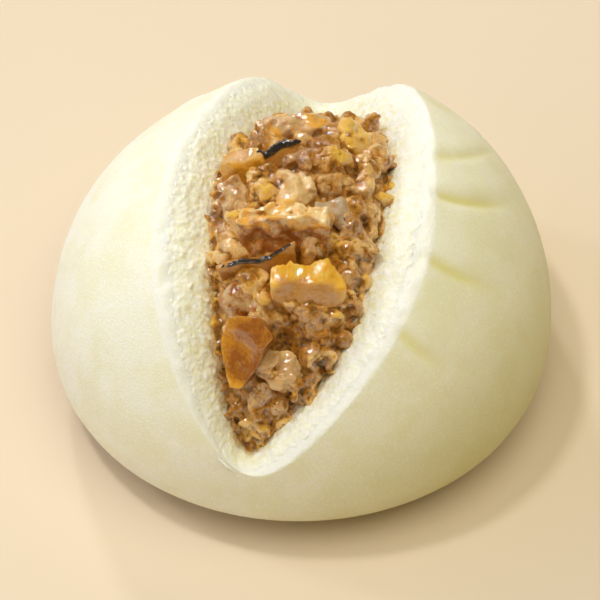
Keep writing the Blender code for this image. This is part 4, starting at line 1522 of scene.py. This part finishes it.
class BUN_OT_mushroom(bpy.types.Operator):
    """Cut the mushroom slices and lay their dark caps on them"""
    bl_idname = "bun.mushroom"
    bl_label = "Mushroom"

    def execute(self, context):
        settings = context.scene.bun_filling
        flesh = wet_material("mushroom", MUSHROOM_ROW, settings,
                             glow=0.2, grain_mm=0.7, mottling=0.6)
        skin = wet_material("mushroom_cap", CAP_ROW, settings, glow=0.0, grain_mm=0.4)
        for name in CAPS:
            lay_cuts([name], flesh, mushroom_relief, mushroom_tint)
            finish_piece(cap_strip(name), skin, [])
        return {"FINISHED"}


class BUN_OT_onion(bpy.types.Operator):
    """Cut the piece of translucent onion"""
    bl_idname = "bun.onion"
    bl_label = "Onion"

    def execute(self, context):
        material = wet_material("onion", ONION_ROW, context.scene.bun_filling,
                                glow=0.4, grain_mm=1.0)
        lay_cuts(["onion"], material, onion_relief, onion_tint)
        return {"FINISHED"}


def hang_lamp(name, place, power, size, colour=(1.0, 1.0, 1.0)):
    """Hang a square lamp that faces the bun."""
    lamp = bpy.data.lights.new(name, "AREA")
    lamp.energy = power
    lamp.size = size
    lamp.color = colour
    hanger = bpy.data.objects.new(name, lamp)
    bpy.context.scene.collection.objects.link(hanger)
    hanger.location = place
    hanger.rotation_mode = "QUATERNION"
    hanger.rotation_quaternion = place.to_track_quat("Z", "Y")
    return hanger


def lay_floor(s):
    """Lay a plain, faintly mottled floor under the bun."""
    floor = start_piece("floor", kind="plane", size=FLOOR_SIZE)
    r = Recipe("floor")
    shade = r.remap(r.noise(60.0, 2.0), 0.3, 0.7, 0.0, 0.06)
    r.set(Base_Color=r.mix(shade, s.floor, s.floor_shade), Roughness=0.8)
    floor.data.materials.append(r.material)


def light_surround(s):
    """Light the bun softly from all round."""
    world = bpy.data.worlds.new("surround")
    world.use_nodes = True
    sky = world.node_tree.nodes["Background"]
    sky.inputs["Color"].default_value = (*s.surround, 1.0)
    sky.inputs["Strength"].default_value = s.surround_strength
    bpy.context.scene.world = world


def hang_lamps(s):
    """Small lamps that draw the wet glints, and broad panels that the glaze doesn't mirror."""
    powers = (s.lamp_power, s.back_power, s.left_power)
    for (name, (way, distance, size)), power in zip(LAMPS.items(), powers):
        hang_lamp(name, Vector(way).normalized() * distance, power, size)
    lights = ((s.panel_power, s.panel_colour), (s.side_power, s.side_colour),
              (s.front_power, s.front_colour))
    for (name, (way, distance)), (power, colour) in zip(PANELS.items(), lights):
        panel = hang_lamp(name, Vector(way) * distance, power, PANEL_SIZE, colour)
        panel.visible_glossy = False


def place_camera(s):
    """Look at the bun from the photo's viewpoint, with the bun where the photo has it."""
    azimuth, elevation = s.view_azimuth, s.view_elevation
    level, rise = math.cos(elevation), math.sin(elevation)
    back = Vector((math.sin(azimuth) * level, -math.cos(azimuth) * level, rise))
    up = Vector((-math.sin(azimuth) * rise, math.cos(azimuth) * rise, level))
    right = Vector((math.cos(azimuth), math.sin(azimuth), 0.0))
    shift = up * PICTURE_SHIFT[1] + right * PICTURE_SHIFT[0]
    target = Vector((0.0, 0.0, LOOK_LEVEL)) + shift * (MM / PIXELS_PER_MM)
    lens = bpy.data.cameras.new("camera")
    lens.sensor_width = SENSOR_WIDTH
    lens.lens = PIXELS_PER_MM / MM * CAMERA_DISTANCE * SENSOR_WIDTH / PICTURE_PIXELS
    lens.clip_start = CAMERA_NEAR
    camera = bpy.data.objects.new("camera", lens)
    bpy.context.scene.collection.objects.link(camera)
    camera.location = target + back * CAMERA_DISTANCE
    camera.rotation_mode = "QUATERNION"
    camera.rotation_quaternion = (-back).to_track_quat("-Z", "Y")
    bpy.context.scene.camera = camera


class BUN_OT_stage(bpy.types.Operator):
    """Lay the floor, hang the lamps and panels and set up the camera"""
    bl_idname = "bun.stage"
    bl_label = "Stage"

    def execute(self, context):
        settings = context.scene.bun_stage
        lay_floor(settings)
        light_surround(settings)
        hang_lamps(settings)
        place_camera(settings)
        context.scene.view_settings.view_transform = "Standard"
        return {"FINISHED"}


class BUN_PT_panel(bpy.types.Panel):
    bl_label = "Steamed pork bun"
    bl_space_type = "VIEW_3D"
    bl_region_type = "UI"
    bl_category = "Bun"

    def draw(self, context):
        for step in STEPS:
            self.layout.operator(step.bl_idname)


STEPS = (BUN_OT_dough, BUN_OT_crumb, BUN_OT_mince, BUN_OT_pork, BUN_OT_bamboo,
         BUN_OT_mushroom, BUN_OT_onion, BUN_OT_stage)
SETTINGS = {"bun_dough": BunDoughSettings, "bun_filling": BunFillingSettings,
            "bun_stage": BunStageSettings}


def register():
    noise.seed_set(NOISE_SEED)
    for name, group in SETTINGS.items():
        bpy.utils.register_class(group)
        setattr(bpy.types.Scene, name, bpy.props.PointerProperty(type=group))
    for item in (*STEPS, BUN_PT_panel):
        bpy.utils.register_class(item)


def unregister():
    for item in (*STEPS, BUN_PT_panel):
        bpy.utils.unregister_class(item)
    for name, group in SETTINGS.items():
        delattr(bpy.types.Scene, name)
        bpy.utils.unregister_class(group)


def main():
    register()
    for step in STEPS:
        group, name = step.bl_idname.split(".")
        getattr(getattr(bpy.ops, group), name)()


if __name__ == "__main__":
    main()
